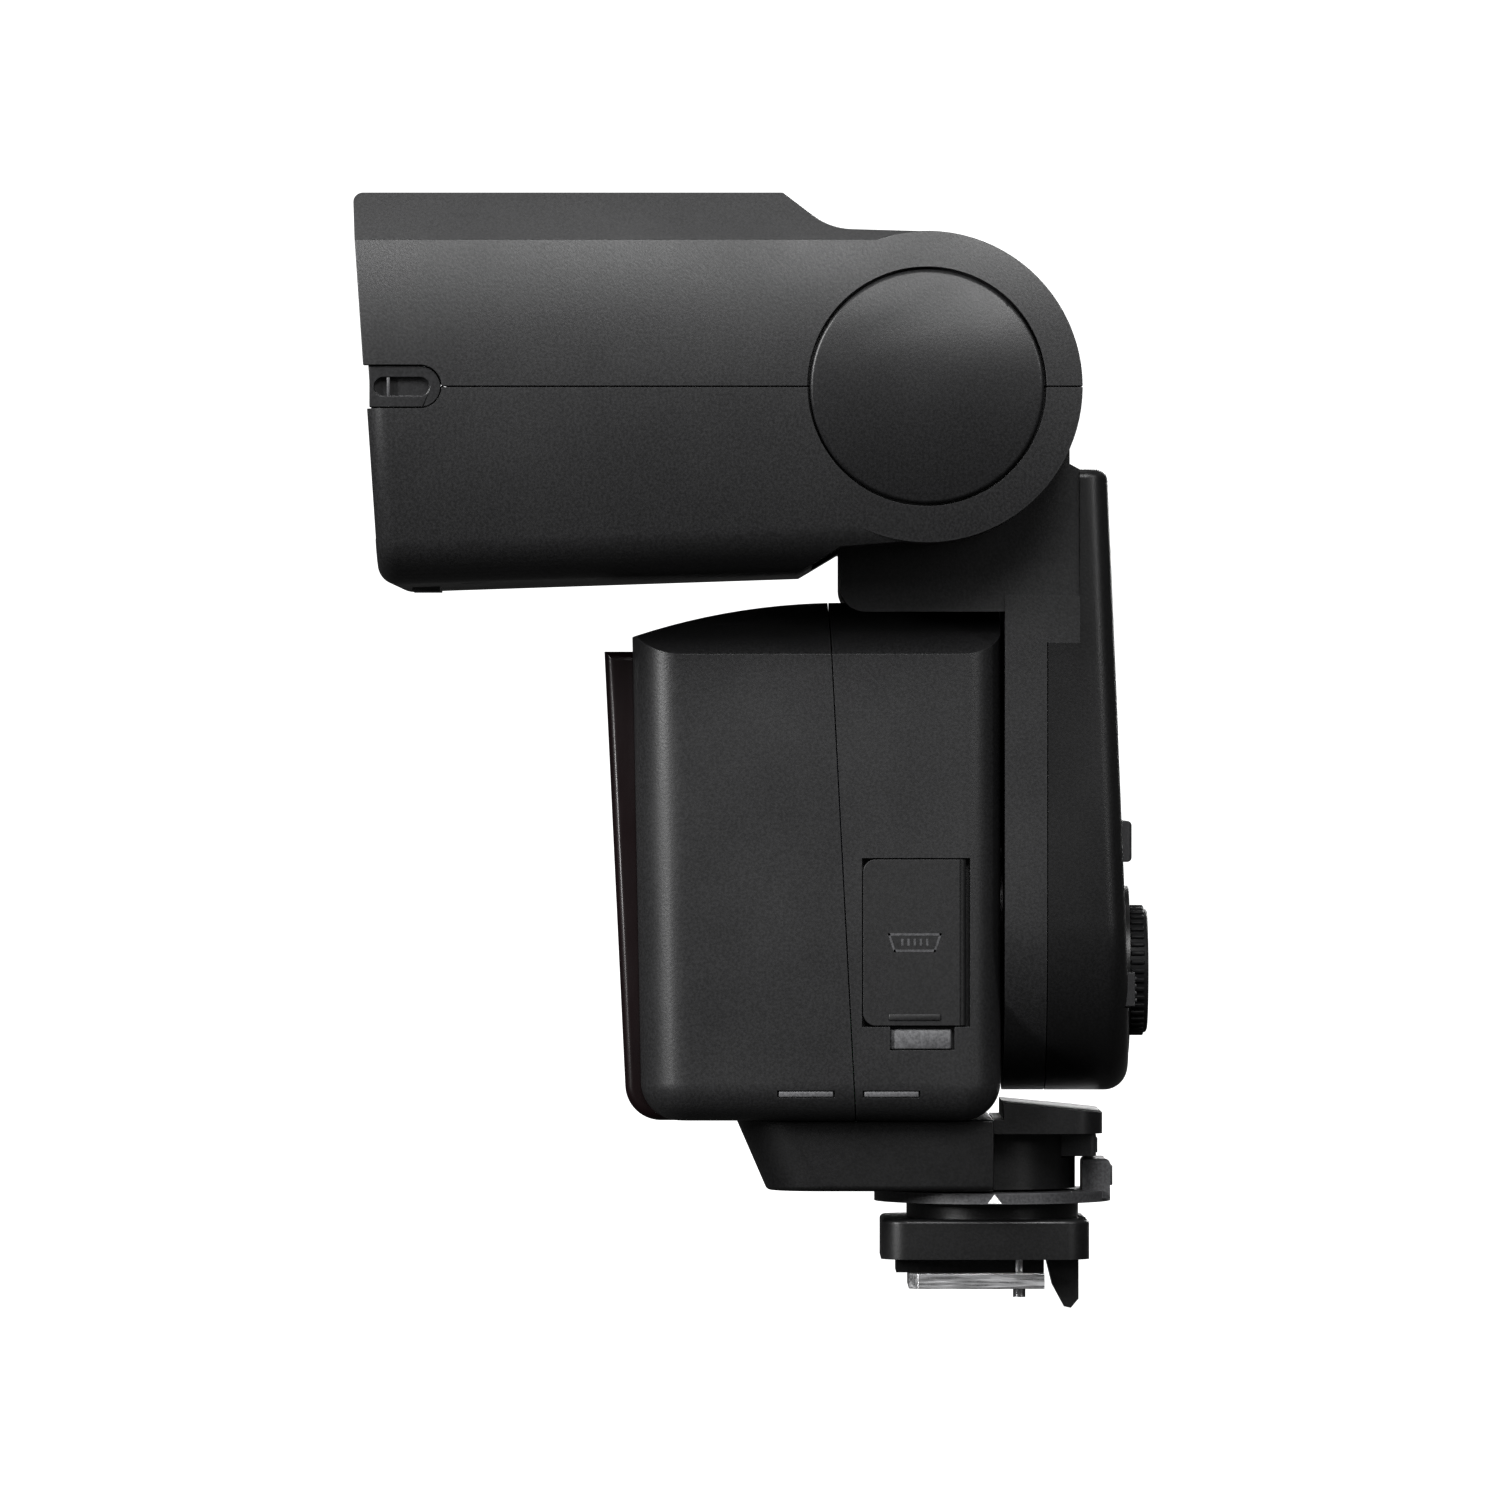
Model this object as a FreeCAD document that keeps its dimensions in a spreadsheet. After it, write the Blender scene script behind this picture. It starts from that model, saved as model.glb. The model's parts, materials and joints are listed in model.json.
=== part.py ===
import FreeCAD, Part
import math
import os
import Sketcher

# A large hot-shoe flash. Millimetres; +Z is up, the lamp head points along -Y, and the origin is the
# centre of the shoe plate's underside. Every size is a cell of the sheet, and every sub-part is bound to it.

Vector = FreeCAD.Vector
Rotation = FreeCAD.Rotation

SIZES = {
    # overall
    "wall": 2.0, "fit_gap": 0.15, "run_gap": 0.05, "free_gap": 0.4, "seam_gap": 0.14,
    # head
    "head_width": 78.1, "head_reach": 73.2, "head_rise": 25.0, "head_drop": 25.2, "face_rake": 3.4,
    "top_edge_drop": 6.3, "top_edge_run": 7.0, "low_edge_round": 5.6, "head_back": 18.3, "low_back": 16.1,
    "belly_rise": 1.8, "chin_rise": 4.9, "chin_back": 11.0, "ear_radius": 19.8, "ear_step": 12.3,
    "ear_shoulder": 20.2, "step_round": 8.0, "cap_radius": 15.2, "cap_depth": 1.5, "rear_cavity": 23.0,
    "face_round": 2.6,
    "slot_height": 5.9, "bezel_depth": 5.0, "lens_border": 3.4, "lens_thick": 2.0,
    "rib_back": 3.4, "rib_length": 3.6, "rib_height": 0.4, "rib_half": 6.0,
    "socket_length": 9.8, "socket_height": 5.5, "slot_half": 1.2,
    # zoom unit
    "reflector_half": 21.0, "reflector_high": 21.5, "reflector_deep": 14.0, "zoom_back": 33.5,
    "rod_spread": 58.0, "rod_radius": 1.0, "tube_radius": 2.0, "screw_radius": 1.5, "motor_radius": 4.4,
    "motor_length": 12.0,
    # cards in the head
    "card_width": 54.0, "card_length": 44.0, "card_thick": 0.8,
    # neck and tilt pivot
    "neck_width": 44.0, "neck_gap": 1.0, "neck_rise": 26.6, "tilt_back": 7.2, "barrel_radius": 19.4,
    "barrel_gap": 0.6, "neck_front": 10.9, "neck_sag": 1.8, "axle_radius": 5.0, "disc_radius": 12.0,
    "disc_thick": 3.0, "neck_round": 3.2,
    # control panel
    "panel_width": 45.0, "panel_front": 3.1, "strip_back": 8.5, "seam_back": 12.7, "seam_drop": 32.4,
    "panel_top": 9.4, "panel_round": 3.0, "back_top": 16.3, "back_low": 19.6, "window_width": 34.0,
    "window_high": 27.0, "window_drop": 17.5,
    "key_width": 9.0, "key_height": 5.6, "key_pitch": 12.0, "key_drop": 58.0,
    "dial_radius": 8.5, "dial_drop": 6.9, "dial_thick": 2.6, "hub_radius": 4.2, "side_key": 15.2,
    "side_key_radius": 3.1, "board_thick": 1.4,
    # swing joint
    "swing_height": 48.1, "swing_gap": 0.4, "shaft_radius": 9.0, "shaft_bore": 6.0, "flange_radius": 13.0,
    # battery block
    "dome_radius": 41.0, "block_width": 45.4, "block_floor": 22.1, "block_front": 45.0, "block_rake": 1.3,
    "block_back": 2.6, "crown_drop": 4.9, "crown_flat": 19.6, "crown_radius": 86.0,
    "block_round": 5.0, "nose_round": 6.5, "floor_round": 5.0, "visor_round": 1.2, "toe_round": 4.6,
    "parting_top": 19.8, "parting_low": 15.8, "window_front": 48.5,
    "window_low": 45.6, "window_half": 16.5,
    "cell_radius": 7.2, "cell_length": 50.5, "cell_gap": 0.5, "cage_wall": 1.0, "cage_back": 5.0,
    "can_length": 45.0, "can_line": 15.9, "can_gap": 0.3, "power_length": 11.7,
    "door_clear": 0.3, "door_thick": 1.8, "hinge_radius": 0.7,
    "flap_front": 15.3, "flap_back": 1.4, "flap_top": 56.0, "flap_low": 34.3, "flap_thick": 1.6,
    "slot_long": 7.4, "slot_high": 0.9, "slot_level": 27.2,
    # pedestal and foot
    "pedestal_front": 31.5, "pedestal_toe": 27.5, "pedestal_width": 33.0, "pedestal_floor": 12.9,
    "cover_front": 1.8, "ledge_back": 15.9, "ledge_top": 24.2, "ledge_low": 20.3, "ledge_half": 15.5,
    "foot_centre": 1.9, "turret_radius": 10.8, "ring_radius": 15.4, "ring_low": 11.2, "ring_high": 12.6,
    "lever_high": 16.8, "collar_radius": 11.2, "collar_low": 9.1, "block_low": 3.9, "foot_half": 12.0,
    "foot_front": 12.7, "foot_rear": 14.3, "rail_half": 6.1, "plate_width": 18.6, "plate_thick": 2.0,
    "plate_front": 9.1, "plate_rear": 8.5, "hook_back": 13.0, "hook_drop": 2.4, "hook_width": 12.0,
    "contact_y": 2.5, "contact_radius": 1.1, "pin_x": 5.4, "pin_y": 5.3, "pin_radius": 0.8,
    "screw_head": 1.7, "stud_radius": 4.9, "release_half": 6.0, "release_back": 15.3, "release_low": 17.1,
}


class Dim:
    """A length that carries its number and the sheet expression that gives it."""

    def __init__(self, number, text):
        self.number = number
        self.text = text

    def __add__(self, other):
        other = dim(other)
        return Dim(self.number + other.number, f"({self.text} + {other.text})")

    def __sub__(self, other):
        other = dim(other)
        return Dim(self.number - other.number, f"({self.text} - {other.text})")

    def __mul__(self, other):
        other = dim(other)
        return Dim(self.number * other.number, f"({self.text} * {other.text})")

    def __truediv__(self, other):
        other = dim(other)
        return Dim(self.number / other.number, f"({self.text} / {other.text})")

    def __neg__(self):
        return Dim(-self.number, f"(0 - {self.text})")

    def __rsub__(self, other):
        return dim(other) - self

    __radd__ = __add__
    __rmul__ = __mul__

    def root(self):
        return Dim(math.sqrt(self.number), f"sqrt({self.text})")


def dim(value):
    if isinstance(value, Dim):
        return value
    return Dim(float(value), f"({float(value):.5f})")


doc = FreeCAD.newDocument("Speedlight")
sheet = doc.addObject("Spreadsheet::Sheet", "Sizes")


class Sheet:
    """Each cell of the sheet as a Dim, by its alias."""


S = Sheet()
for row, (alias, value) in enumerate(SIZES.items(), start=1):
    sheet.set(f"A{row}", alias)
    sheet.set(f"B{row}", str(value))
    sheet.setAlias(f"B{row}", alias)
    setattr(S, alias, Dim(value, f"Sizes.{alias}"))
doc.recompute()

NODES = []


def bind(thing, prop, value):
    thing.setExpression(prop, dim(value).text)


def circle(across, up, radius):
    return ("circle", across, up, radius)


def add_sketch(body, plane, wires, level):
    """A sketch of polygons and circles on one of the body's origin planes, lifted to a level."""
    sketch = body.newObject("Sketcher::SketchObject", body.Name + "_sketch")
    origin_plane = [item for item in body.Origin.OriginFeatures if item.Role == plane + "_Plane"][0]
    sketch.AttachmentSupport = [(origin_plane, "")]
    sketch.MapMode = "FlatFace"
    bind(sketch, "AttachmentOffset.Base.z", -dim(level) if plane == "XZ" else level)
    rules = []

    def pin(element, point, across, up):
        for kind, value in (("DistanceX", across), ("DistanceY", up)):
            rule = Sketcher.Constraint(kind, -1, 1, element, point, dim(value).number)
            rules.append((sketch.addConstraint(rule), value))

    for wire in wires:
        first = sketch.GeometryCount
        if wire[0] == "circle":
            _, across, up, radius = wire
            middle = Vector(dim(across).number, dim(up).number, 0)
            sketch.addGeometry(Part.Circle(middle, Vector(0, 0, 1), dim(radius).number), False)
            pin(first, 3, across, up)
            rules.append((sketch.addConstraint(Sketcher.Constraint("Radius", first, dim(radius).number)),
                          radius))
            continue
        corners = [Vector(dim(across).number, dim(up).number, 0) for across, up in wire]
        for start, end in zip(corners, corners[1:] + corners[:1]):
            sketch.addGeometry(Part.LineSegment(start, end), False)
        for step in range(len(wire)):
            after = first + (step + 1) % len(wire)
            sketch.addConstraint(Sketcher.Constraint("Coincident", first + step, 2, after, 1))
        for step, (across, up) in enumerate(wire):
            pin(first + step, 1, across, up)
    for count, (index, value) in enumerate(rules):
        sketch.renameConstraint(index, f"size_{count}")
        bind(sketch, f"Constraints.size_{count}", value)
    return sketch


def add_body(label):
    body = doc.addObject("PartDesign::Body", label)
    body.Label = label
    return body


def pad(body, plane, wires, start, end):
    """Material between two levels along the plane's own axis, lowest first."""
    sketch = add_sketch(body, plane, wires, end if plane == "XZ" else start)
    feature = body.newObject("PartDesign::Pad", body.Name + "_pad")
    feature.Profile = sketch
    bind(feature, "Length", dim(end) - start)
    doc.recompute()
    return body


def pocket(body, plane, wires, start, end):
    """A cut between two levels along the plane's own axis; it has to take something away."""
    before = body.Shape.Volume
    sketch = add_sketch(body, plane, wires, start if plane == "XZ" else end)
    feature = body.newObject("PartDesign::Pocket", body.Name + "_pocket")
    feature.Profile = sketch
    bind(feature, "Length", dim(end) - start)
    doc.recompute()
    if body.Shape.Volume > before - 1e-3:
        raise RuntimeError(f"{body.Label}: a pocket cuts nothing, {feature.State} {sketch.State}")
    return body


def spans(edge, axis):
    """True if the edge runs straight along the axis (0, 1 or 2)."""
    box = edge.BoundBox
    lengths = [box.XLength, box.YLength, box.ZLength]
    others = [length for index, length in enumerate(lengths) if index != axis]
    return max(others) < 0.02 and lengths[axis] > 0.3


def middle(edge):
    return edge.BoundBox.Center


def soften(body, radius, chosen, kind="Fillet", second=None):
    """A fillet, or a chamfer, on the edges that the test picks."""
    base = body.Tip
    names = [f"Edge{index}" for index, edge in enumerate(base.Shape.Edges, start=1) if chosen(edge)]
    if not names:
        raise RuntimeError(f"{body.Label}: no edge to soften")
    feature = body.newObject("PartDesign::" + kind, f"{body.Name}_{kind.lower()}")
    feature.Base = (base, names)
    if kind == "Fillet":
        bind(feature, "Radius", radius)
    else:
        feature.ChamferType = "Two distances" if second is not None else "Equal distance"
        bind(feature, "Size", radius)
        if second is not None:
            bind(feature, "Size2", second)
    doc.recompute()
    return body


def keep(thing, label=None):
    """Marks an object as one finished sub-part."""
    if label:
        thing.Label = label
    NODES.append(thing)
    return thing


def cylinder(name, axis, radius, start, end, first, second):
    """A round bar along an axis; first and second place it on the other two axes, in X, Y, Z order."""
    bar = doc.addObject("Part::Cylinder", name)
    bind(bar, "Radius", radius)
    bind(bar, "Height", dim(end) - start)
    turn = {"X": Rotation(Vector(0, 1, 0), 90), "Y": Rotation(Vector(1, 0, 0), -90), "Z": Rotation()}[axis]
    bar.Placement = FreeCAD.Placement(Vector(), turn)
    places = {"X": (start, first, second), "Y": (first, start, second), "Z": (first, second, start)}[axis]
    for letter, value in zip("xyz", places):
        bind(bar, "Placement.Base." + letter, value)
    return bar


def block(name, low, high):
    """A rectangular block between two corners."""
    solid = doc.addObject("Part::Box", name)
    for prop, letter, start, end in zip(("Length", "Width", "Height"), "xyz", low, high):
        bind(solid, prop, dim(end) - start)
        bind(solid, "Placement.Base." + letter, start)
    return solid


def fuse(name, *pieces):
    union = doc.addObject("Part::MultiFuse", name)
    union.Shapes = list(pieces)
    union.Refine = True
    doc.recompute()
    return union


def cut(name, base, *tools):
    tool = tools[0] if len(tools) == 1 else fuse(name + "_tools", *tools)
    result = doc.addObject("Part::Cut", name)
    result.Base = base
    result.Tool = tool
    result.Refine = True
    doc.recompute()
    return result


def common(name, base, tool):
    result = doc.addObject("Part::Common", name)
    result.Base = base
    result.Tool = tool
    result.Refine = True
    doc.recompute()
    return result


def group(name, *solids):
    """Separate solids of one kind in one node."""
    result = doc.addObject("Part::Compound", name)
    result.Links = list(solids)
    doc.recompute()
    return result


def rectangle(left, right, low, high):
    return [(dim(left), dim(low)), (dim(right), dim(low)), (dim(right), dim(high)), (dim(left), dim(high))]


def mirrored(low, high):
    """A polygon that is the same on both sides of the centre plane, from its right-hand half, bottom up."""
    return [(x, z) for x, z in low + high] + [(-x, z) for x, z in reversed(low + high)]


# ---- Places worked out from the sizes ---------------------------------------------------------------
half_head = S.head_width / 2
half_neck = S.neck_width / 2
ear_inner = half_neck + S.neck_gap
neck_under = S.swing_height + S.dome_radius + S.swing_gap
tilt_z = neck_under + S.neck_rise
tilt_y = -S.tilt_back
head_top = tilt_z + S.head_rise
head_low = tilt_z - S.head_drop
face_top = tilt_y - S.head_reach
face_low = face_top + S.face_rake
rake = S.face_rake / (S.head_rise + S.head_drop)
cavity_back = tilt_y - S.rear_cavity
inner_half = half_head - S.wall


screw_seat = head_low + 2.3
head_screw_places = [(x, face_low + back) for x in (half_head - 12, 12 - half_head) for back in (12, 42)]


def face_y(level, inset):
    """Where the raked front plane of the head is at a height, moved back by an inset."""
    return face_top + (head_top - level) * rake + inset


# ---- Head: two moulded shells with the pivot ears ---------------------------------------------------
def head_shell(label, sign):
    body = add_body(label)
    if sign > 0:
        outline = [(face_y(tilt_z, 0), tilt_z), (tilt_y, tilt_z), (tilt_y, tilt_z + S.ear_shoulder - 0.5),
                   (tilt_y - S.ear_step, tilt_z + S.ear_shoulder), (tilt_y - S.head_back, head_top),
                   (face_top, head_top)]
    else:
        outline = [(face_y(tilt_z, 0), tilt_z), (face_low, head_low),
                   (tilt_y - S.low_back, head_low + S.belly_rise),
                   (tilt_y - S.chin_back, head_low + S.chin_rise),
                   (tilt_y, tilt_z - S.ear_radius + 0.4), (tilt_y, tilt_z)]
    pad(body, "YZ", [outline], -half_head, half_head)
    if sign > 0:
        soften(body, S.step_round,
               lambda e: spans(e, 0) and abs(middle(e).y - (tilt_y - S.ear_step).number) < 0.1
               and middle(e).z > tilt_z.number + 10)
        soften(body, S.top_edge_drop, lambda e: spans(e, 1) and middle(e).z > head_top.number - 0.1,
               "Chamfer", S.top_edge_run)
        soften(body, 1.2, lambda e: spans(e, 0) and middle(e).y < face_top.number + 0.3
               and middle(e).z > head_top.number - 0.1)
    else:
        soften(body, S.low_edge_round, lambda e: abs(middle(e).x) > half_head.number - 0.1
               and middle(e).z < head_low.number + 1.5 and e.BoundBox.YLength > 20)
        soften(body, S.face_round, lambda e: middle(e).y < face_low.number + 0.1
               and middle(e).z < head_low.number + 0.1 and e.BoundBox.XLength > 20)
    # the low rib, at the middle of the front edge, that a diffuser dome catches on
    rib_front = face_low + S.rib_back if sign < 0 else face_top + S.rib_back
    rib_edge = head_low if sign < 0 else head_top
    pad(body, "YZ", [rectangle(rib_front, rib_front + S.rib_length, rib_edge - S.rib_height,
                               rib_edge + S.rib_height)],
        -S.rib_half, S.rib_half)
    # half of the ear disc on each side
    for side in (1, -1):
        start, end = (ear_inner, half_head) if side > 0 else (-half_head, -ear_inner)
        pad(body, "YZ", [circle(tilt_y, tilt_z, S.ear_radius)], start, end)
    below = tilt_z - 40
    above = tilt_z + 40
    # the other half belongs to the other shell, across a fine parting line
    half_seam = S.seam_gap / 2
    low, high = (below, tilt_z + half_seam) if sign > 0 else (tilt_z - half_seam, above)
    pocket(body, "YZ", [rectangle(face_top - 5, tilt_y + 40, low, high)], -half_head - 1, half_head + 1)
    # room for the neck between the ears
    pocket(body, "YZ", [circle(tilt_y, tilt_z, S.barrel_radius + S.barrel_gap)], -ear_inner, ear_inner)
    if sign > 0:
        hollow = [(tilt_y - 16.5, tilt_z + 5), (tilt_y + 30, tilt_z + 5), (tilt_y + 30, above),
                  (tilt_y - 16.5, above)]
    else:
        hollow = [(tilt_y - 12.0, tilt_z - 5), (tilt_y - 16.2, below + 5), (tilt_y + 30, below + 5),
                  (tilt_y + 30, tilt_z - 5)]
    pocket(body, "YZ", [hollow], -ear_inner, ear_inner)
    # lamp chamber, open at the front
    if sign > 0:
        chamber = mirrored([(inner_half, tilt_z - 1)],
                           [(inner_half, head_top - S.top_edge_drop - S.wall * 0.45),
                           (half_head - S.top_edge_run - S.wall * 0.45, head_top - S.wall)])
    else:
        chamber = mirrored([(inner_half - S.low_edge_round + 1, head_low + S.wall + S.belly_rise * 0.4)],
                           [(inner_half, head_low + S.low_edge_round + 0.4), (inner_half, tilt_z + 1)])
    pocket(body, "XZ", [chamber], face_top - 10, cavity_back)
    # seats for the pivot caps, and the axle bores
    for side in (1, -1):
        start, end = (half_head - S.cap_depth, half_head + 1) if side > 0 else (-half_head - 1,
                                                                                -half_head + S.cap_depth)
        pocket(body, "YZ", [circle(tilt_y, tilt_z, S.cap_radius)], start, end)
    pocket(body, "YZ", [circle(tilt_y, tilt_z, S.axle_radius + S.run_gap)], -half_head + S.cap_depth + 1,
           half_head - S.cap_depth - 1)
    # seats for the accessory sockets at the front of each side
    half_socket = S.socket_height / 2
    seat_back = face_y(tilt_z, S.socket_length) - half_socket
    seat = rectangle(seat_back - S.socket_length - 3, seat_back, tilt_z - half_socket, tilt_z + half_socket)
    for side in (1, -1):
        start, end = (inner_half - 1, half_head + 1) if side > 0 else (-half_head - 1, 1 - inner_half)
        pocket(body, "YZ", [seat], start, end)
        pocket(body, "YZ", [circle(seat_back, tilt_z, half_socket)], start, end)
    if sign < 0:
        pocket(body, "XY", [circle(x, y, S.screw_head + S.fit_gap) for x, y in head_screw_places],
               head_low - 1, screw_seat)
    return keep(body)


head_shell("head_upper_shell", 1)
head_shell("head_lower_shell", -1)

for side, label in ((1, "pivot_cap_right"), (-1, "pivot_cap_left")):
    cap = add_body(label)
    start, end = (half_head - S.cap_depth, half_head) if side > 0 else (-half_head, -half_head + S.cap_depth)
    pad(cap, "YZ", [circle(tilt_y, tilt_z, S.cap_radius - S.fit_gap * 2)], start, end)
    soften(cap, 0.5, lambda e: abs(middle(e).x) > half_head.number - 0.1)
    keep(cap)

for side, label in ((1, "accessory_socket_right"), (-1, "accessory_socket_left")):
    insert = add_body(label)
    half_socket = S.socket_height / 2
    seat_back = face_y(tilt_z, S.socket_length) - half_socket
    start, end = (inner_half, half_head - 0.5) if side > 0 else (0.5 - half_head, -inner_half)
    pad(insert, "YZ", [rectangle(face_y(tilt_z, 0.6), seat_back, tilt_z - half_socket + S.fit_gap,
                                 tilt_z + half_socket - S.fit_gap)], start, end)
    pad(insert, "YZ", [circle(seat_back, tilt_z, half_socket - S.fit_gap)], start, end)
    slot_front = face_y(tilt_z, 2.4)
    start, end = (half_head - 1.5, half_head) if side > 0 else (-half_head, 1.5 - half_head)
    pocket(insert, "YZ", [rectangle(slot_front, seat_back, tilt_z - S.slot_half, tilt_z + S.slot_half)],
           start, end)
    pocket(insert, "YZ", [circle(slot_front, tilt_z, S.slot_half)], start, end)
    pocket(insert, "YZ", [circle(seat_back, tilt_z, S.slot_half)], start, end)
    keep(insert)

# ---- Head front: bezel and ribbed lens --------------------------------------------------------------
bezel_top = head_top - S.wall - S.slot_height
bezel_low = head_low + S.wall + S.belly_rise * 0.4 + S.fit_gap
bezel_half = inner_half - S.fit_gap
bezel = add_body("lens_bezel")
pad(bezel, "XZ", [mirrored([(bezel_half - S.low_edge_round + 1, bezel_low)],
                           [(bezel_half, head_low + S.low_edge_round + 0.6), (bezel_half, bezel_top)])],
    face_top + 0.6, face_low + S.bezel_depth)
pocket(bezel, "YZ", [[(face_y(head_top, 0.6), head_top), (face_y(head_low, 0.6), head_low),
                      (face_top - 6, head_low),
                      (face_top - 6, head_top)]], -half_head, half_head)
lens_half = bezel_half - S.lens_border
lens_top = bezel_top - S.lens_border * 0.8
lens_low = bezel_low + S.lens_border
pocket(bezel, "XZ", [[(-lens_half, lens_low), (lens_half, lens_low), (lens_half, lens_top),
                      (-lens_half, lens_top)]],
       face_top - 5, face_low + S.bezel_depth + 5)
keep(bezel)

lens = add_body("fresnel_lens")
lens_gap = S.fit_gap
pad(lens, "YZ", [[(face_y(lens_low, 2.0), lens_low + lens_gap),
                  (face_y(lens_low, 2.0) + S.lens_thick, lens_low + lens_gap),
                  (face_y(lens_top, 2.0) + S.lens_thick, lens_top - lens_gap),
                  (face_y(lens_top, 2.0), lens_top - lens_gap)]],
    -lens_half + lens_gap, lens_half - lens_gap)
keep(lens)

# ---- Cards stored above the lamp --------------------------------------------------------------------
card_half = S.card_width / 2
tray_low = bezel_top + 0.2
tray = add_body("card_tray")
tray_back = cavity_back - 0.4
pad(tray, "XZ", [mirrored([(card_half + 2, tray_low)], [(card_half + 2, tray_low + 4.2),
                                                        (card_half + 0.6, tray_low + 4.2),
                                                        (card_half + 0.6, tray_low + 0.8)])],
                                                        face_y(tray_low, 1.2), tray_back)
keep(tray)
panel_low = tray_low + 1.1
panel_high = panel_low + S.card_thick
bounce_low = panel_high + 0.4
wide_panel = block("wide_panel_plate", (-card_half, face_y(head_top, 0.9), panel_low),
                   (card_half, face_y(head_top, 0.9) + S.card_length, panel_high))
wide_grip = block("wide_panel_grip", (-7, face_y(head_top, 0.5), panel_low),
                  (7, face_y(head_top, 2.0), panel_high + 0.2))
keep(fuse("wide_panel_solid", wide_panel, wide_grip), "wide_panel")
bounce = block("bounce_card_plate", (1.5 - card_half, face_y(head_top, 0.9), bounce_low),
               (card_half - 1.5, face_y(head_top, 0.9) + S.card_length, bounce_low + S.card_thick))
bounce_grip = block("bounce_card_grip", (9, face_y(head_top, 0.5), bounce_low),
                    (19, face_y(head_top, 2.0), bounce_low + 1.1))
keep(fuse("bounce_card_solid", bounce, bounce_grip), "bounce_card")

# ---- Zoom unit: reflector, flash tube and its drive -------------------------------------------------
zoom_y = tilt_y - S.zoom_back
lamp_z = (lens_top + lens_low) / 2 + 1
mouth_y = zoom_y - S.reflector_deep
reflector = add_body("reflector")
half_mouth = S.reflector_high / 2
trough = [(mouth_y, lamp_z - half_mouth), (zoom_y - 4, lamp_z - 5), (zoom_y, lamp_z - 3.5),
          (zoom_y, lamp_z + 3.5),
          (zoom_y - 4, lamp_z + 5), (mouth_y, lamp_z + half_mouth)]
pad(reflector, "YZ", [trough], -S.reflector_half, S.reflector_half)
hollow = [(mouth_y - 1, lamp_z - half_mouth + 0.6), (zoom_y - 4.2, lamp_z - 4.2),
          (zoom_y - 0.8, lamp_z - 2.8),
          (zoom_y - 0.8, lamp_z + 2.8), (zoom_y - 4.2, lamp_z + 4.2),
          (mouth_y - 1, lamp_z + half_mouth - 0.6)]
pocket(reflector, "YZ", [hollow], -S.reflector_half + 0.8, S.reflector_half - 0.8)
tube_y = zoom_y - 3.4
pocket(reflector, "YZ", [circle(tube_y, lamp_z, S.tube_radius)], -S.reflector_half - 1, S.reflector_half + 1)
keep(reflector)
keep(cylinder("xenon_tube", "X", S.tube_radius, -S.reflector_half - 3, S.reflector_half + 3, tube_y, lamp_z))
boots = []
for index, side in enumerate((1, -1)):
    start, end = (S.reflector_half, S.reflector_half + 4) if side > 0 else (-S.reflector_half - 4,
                                                                            -S.reflector_half)
    outer = cylinder(f"boot_outer_{index}", "X", S.tube_radius + 1.2, start, end, tube_y, lamp_z)
    bore = cylinder(f"boot_bore_{index}", "X", S.tube_radius, start - 1 if side > 0 else start + 1,
                    end - 1 if side > 0 else end + 1, tube_y, lamp_z)
    boots.append(cut(f"boot_{index}", outer, bore))
keep(group("tube_boots", *boots))
rod_half = S.rod_spread / 2
screw_z = head_low + S.wall + S.belly_rise * 0.4 + S.motor_radius + 0.3
carriage = add_body("zoom_carriage")
pad(carriage, "XZ", [mirrored([(4, screw_z - 2.6)], [(4, lamp_z - 7), (rod_half + 2, lamp_z - 7),
                                                     (rod_half + 2, lamp_z + 7)])],
    zoom_y, zoom_y + 3)
pocket(carriage, "XZ", [circle(rod_half, lamp_z, S.rod_radius + S.run_gap),
                        circle(-rod_half, lamp_z, S.rod_radius + S.run_gap),
                        circle(0.01, screw_z, S.screw_radius + S.free_gap)], zoom_y - 1, zoom_y + 4)
keep(carriage)
rods = [cylinder(f"guide_rod_{index}", "Y", S.rod_radius, face_low + S.bezel_depth, cavity_back, x, lamp_z)
        for index, x in enumerate((rod_half, -rod_half))]
keep(group("guide_rods", *rods))
motor_front = face_low + S.bezel_depth + 0.3
motor_back = motor_front + S.motor_length
can = cylinder("motor_can", "Y", S.motor_radius, motor_front, motor_back, 0, screw_z)
saddle = block("motor_saddle", (-5, motor_front + 2, head_low + S.wall + S.belly_rise * 0.4),
               (5, motor_back - 2, screw_z))
keep(fuse("zoom_motor_solid", can, saddle), "zoom_motor")
keep(cylinder("lead_screw", "Y", S.screw_radius, motor_back + 0.1, cavity_back - 0.2, 0, screw_z))
keep(group("head_screws", *[cylinder(f"head_screw_{index}", "Z", S.screw_head, head_low + 1.5, screw_seat,
                                     x, y)
                            for index, (x, y) in enumerate(head_screw_places)]))

# ---- Neck and front half of the panel: one moulding that swings on the block ------------------------
half_panel = S.panel_width / 2
panel_high = tilt_z - S.panel_top
seam_z = tilt_z - S.seam_drop
neck_front = tilt_y - S.neck_front
neck_inner = half_neck - S.wall
neck_side_low = neck_under - S.neck_sag
neck = add_body("neck_shell")
pad(neck, "YZ", [[(neck_front, neck_side_low), (S.seam_back - 0.01, neck_side_low),
                  (S.seam_back, panel_high - 0.7),
                  (tilt_y + 18.6, panel_high), (tilt_y + 18.6, tilt_z), (neck_front, tilt_z)]],
                  -half_neck, half_neck)
soften(neck, S.neck_round, lambda e: spans(e, 0) and middle(e).y < neck_front.number + 0.1
       and middle(e).z < neck_side_low.number + 0.1)
pad(neck, "YZ", [circle(tilt_y, tilt_z, S.barrel_radius)], -half_neck, half_neck)
arch_radius = half_neck * half_neck / (2 * S.neck_sag) + S.neck_sag / 2
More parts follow.
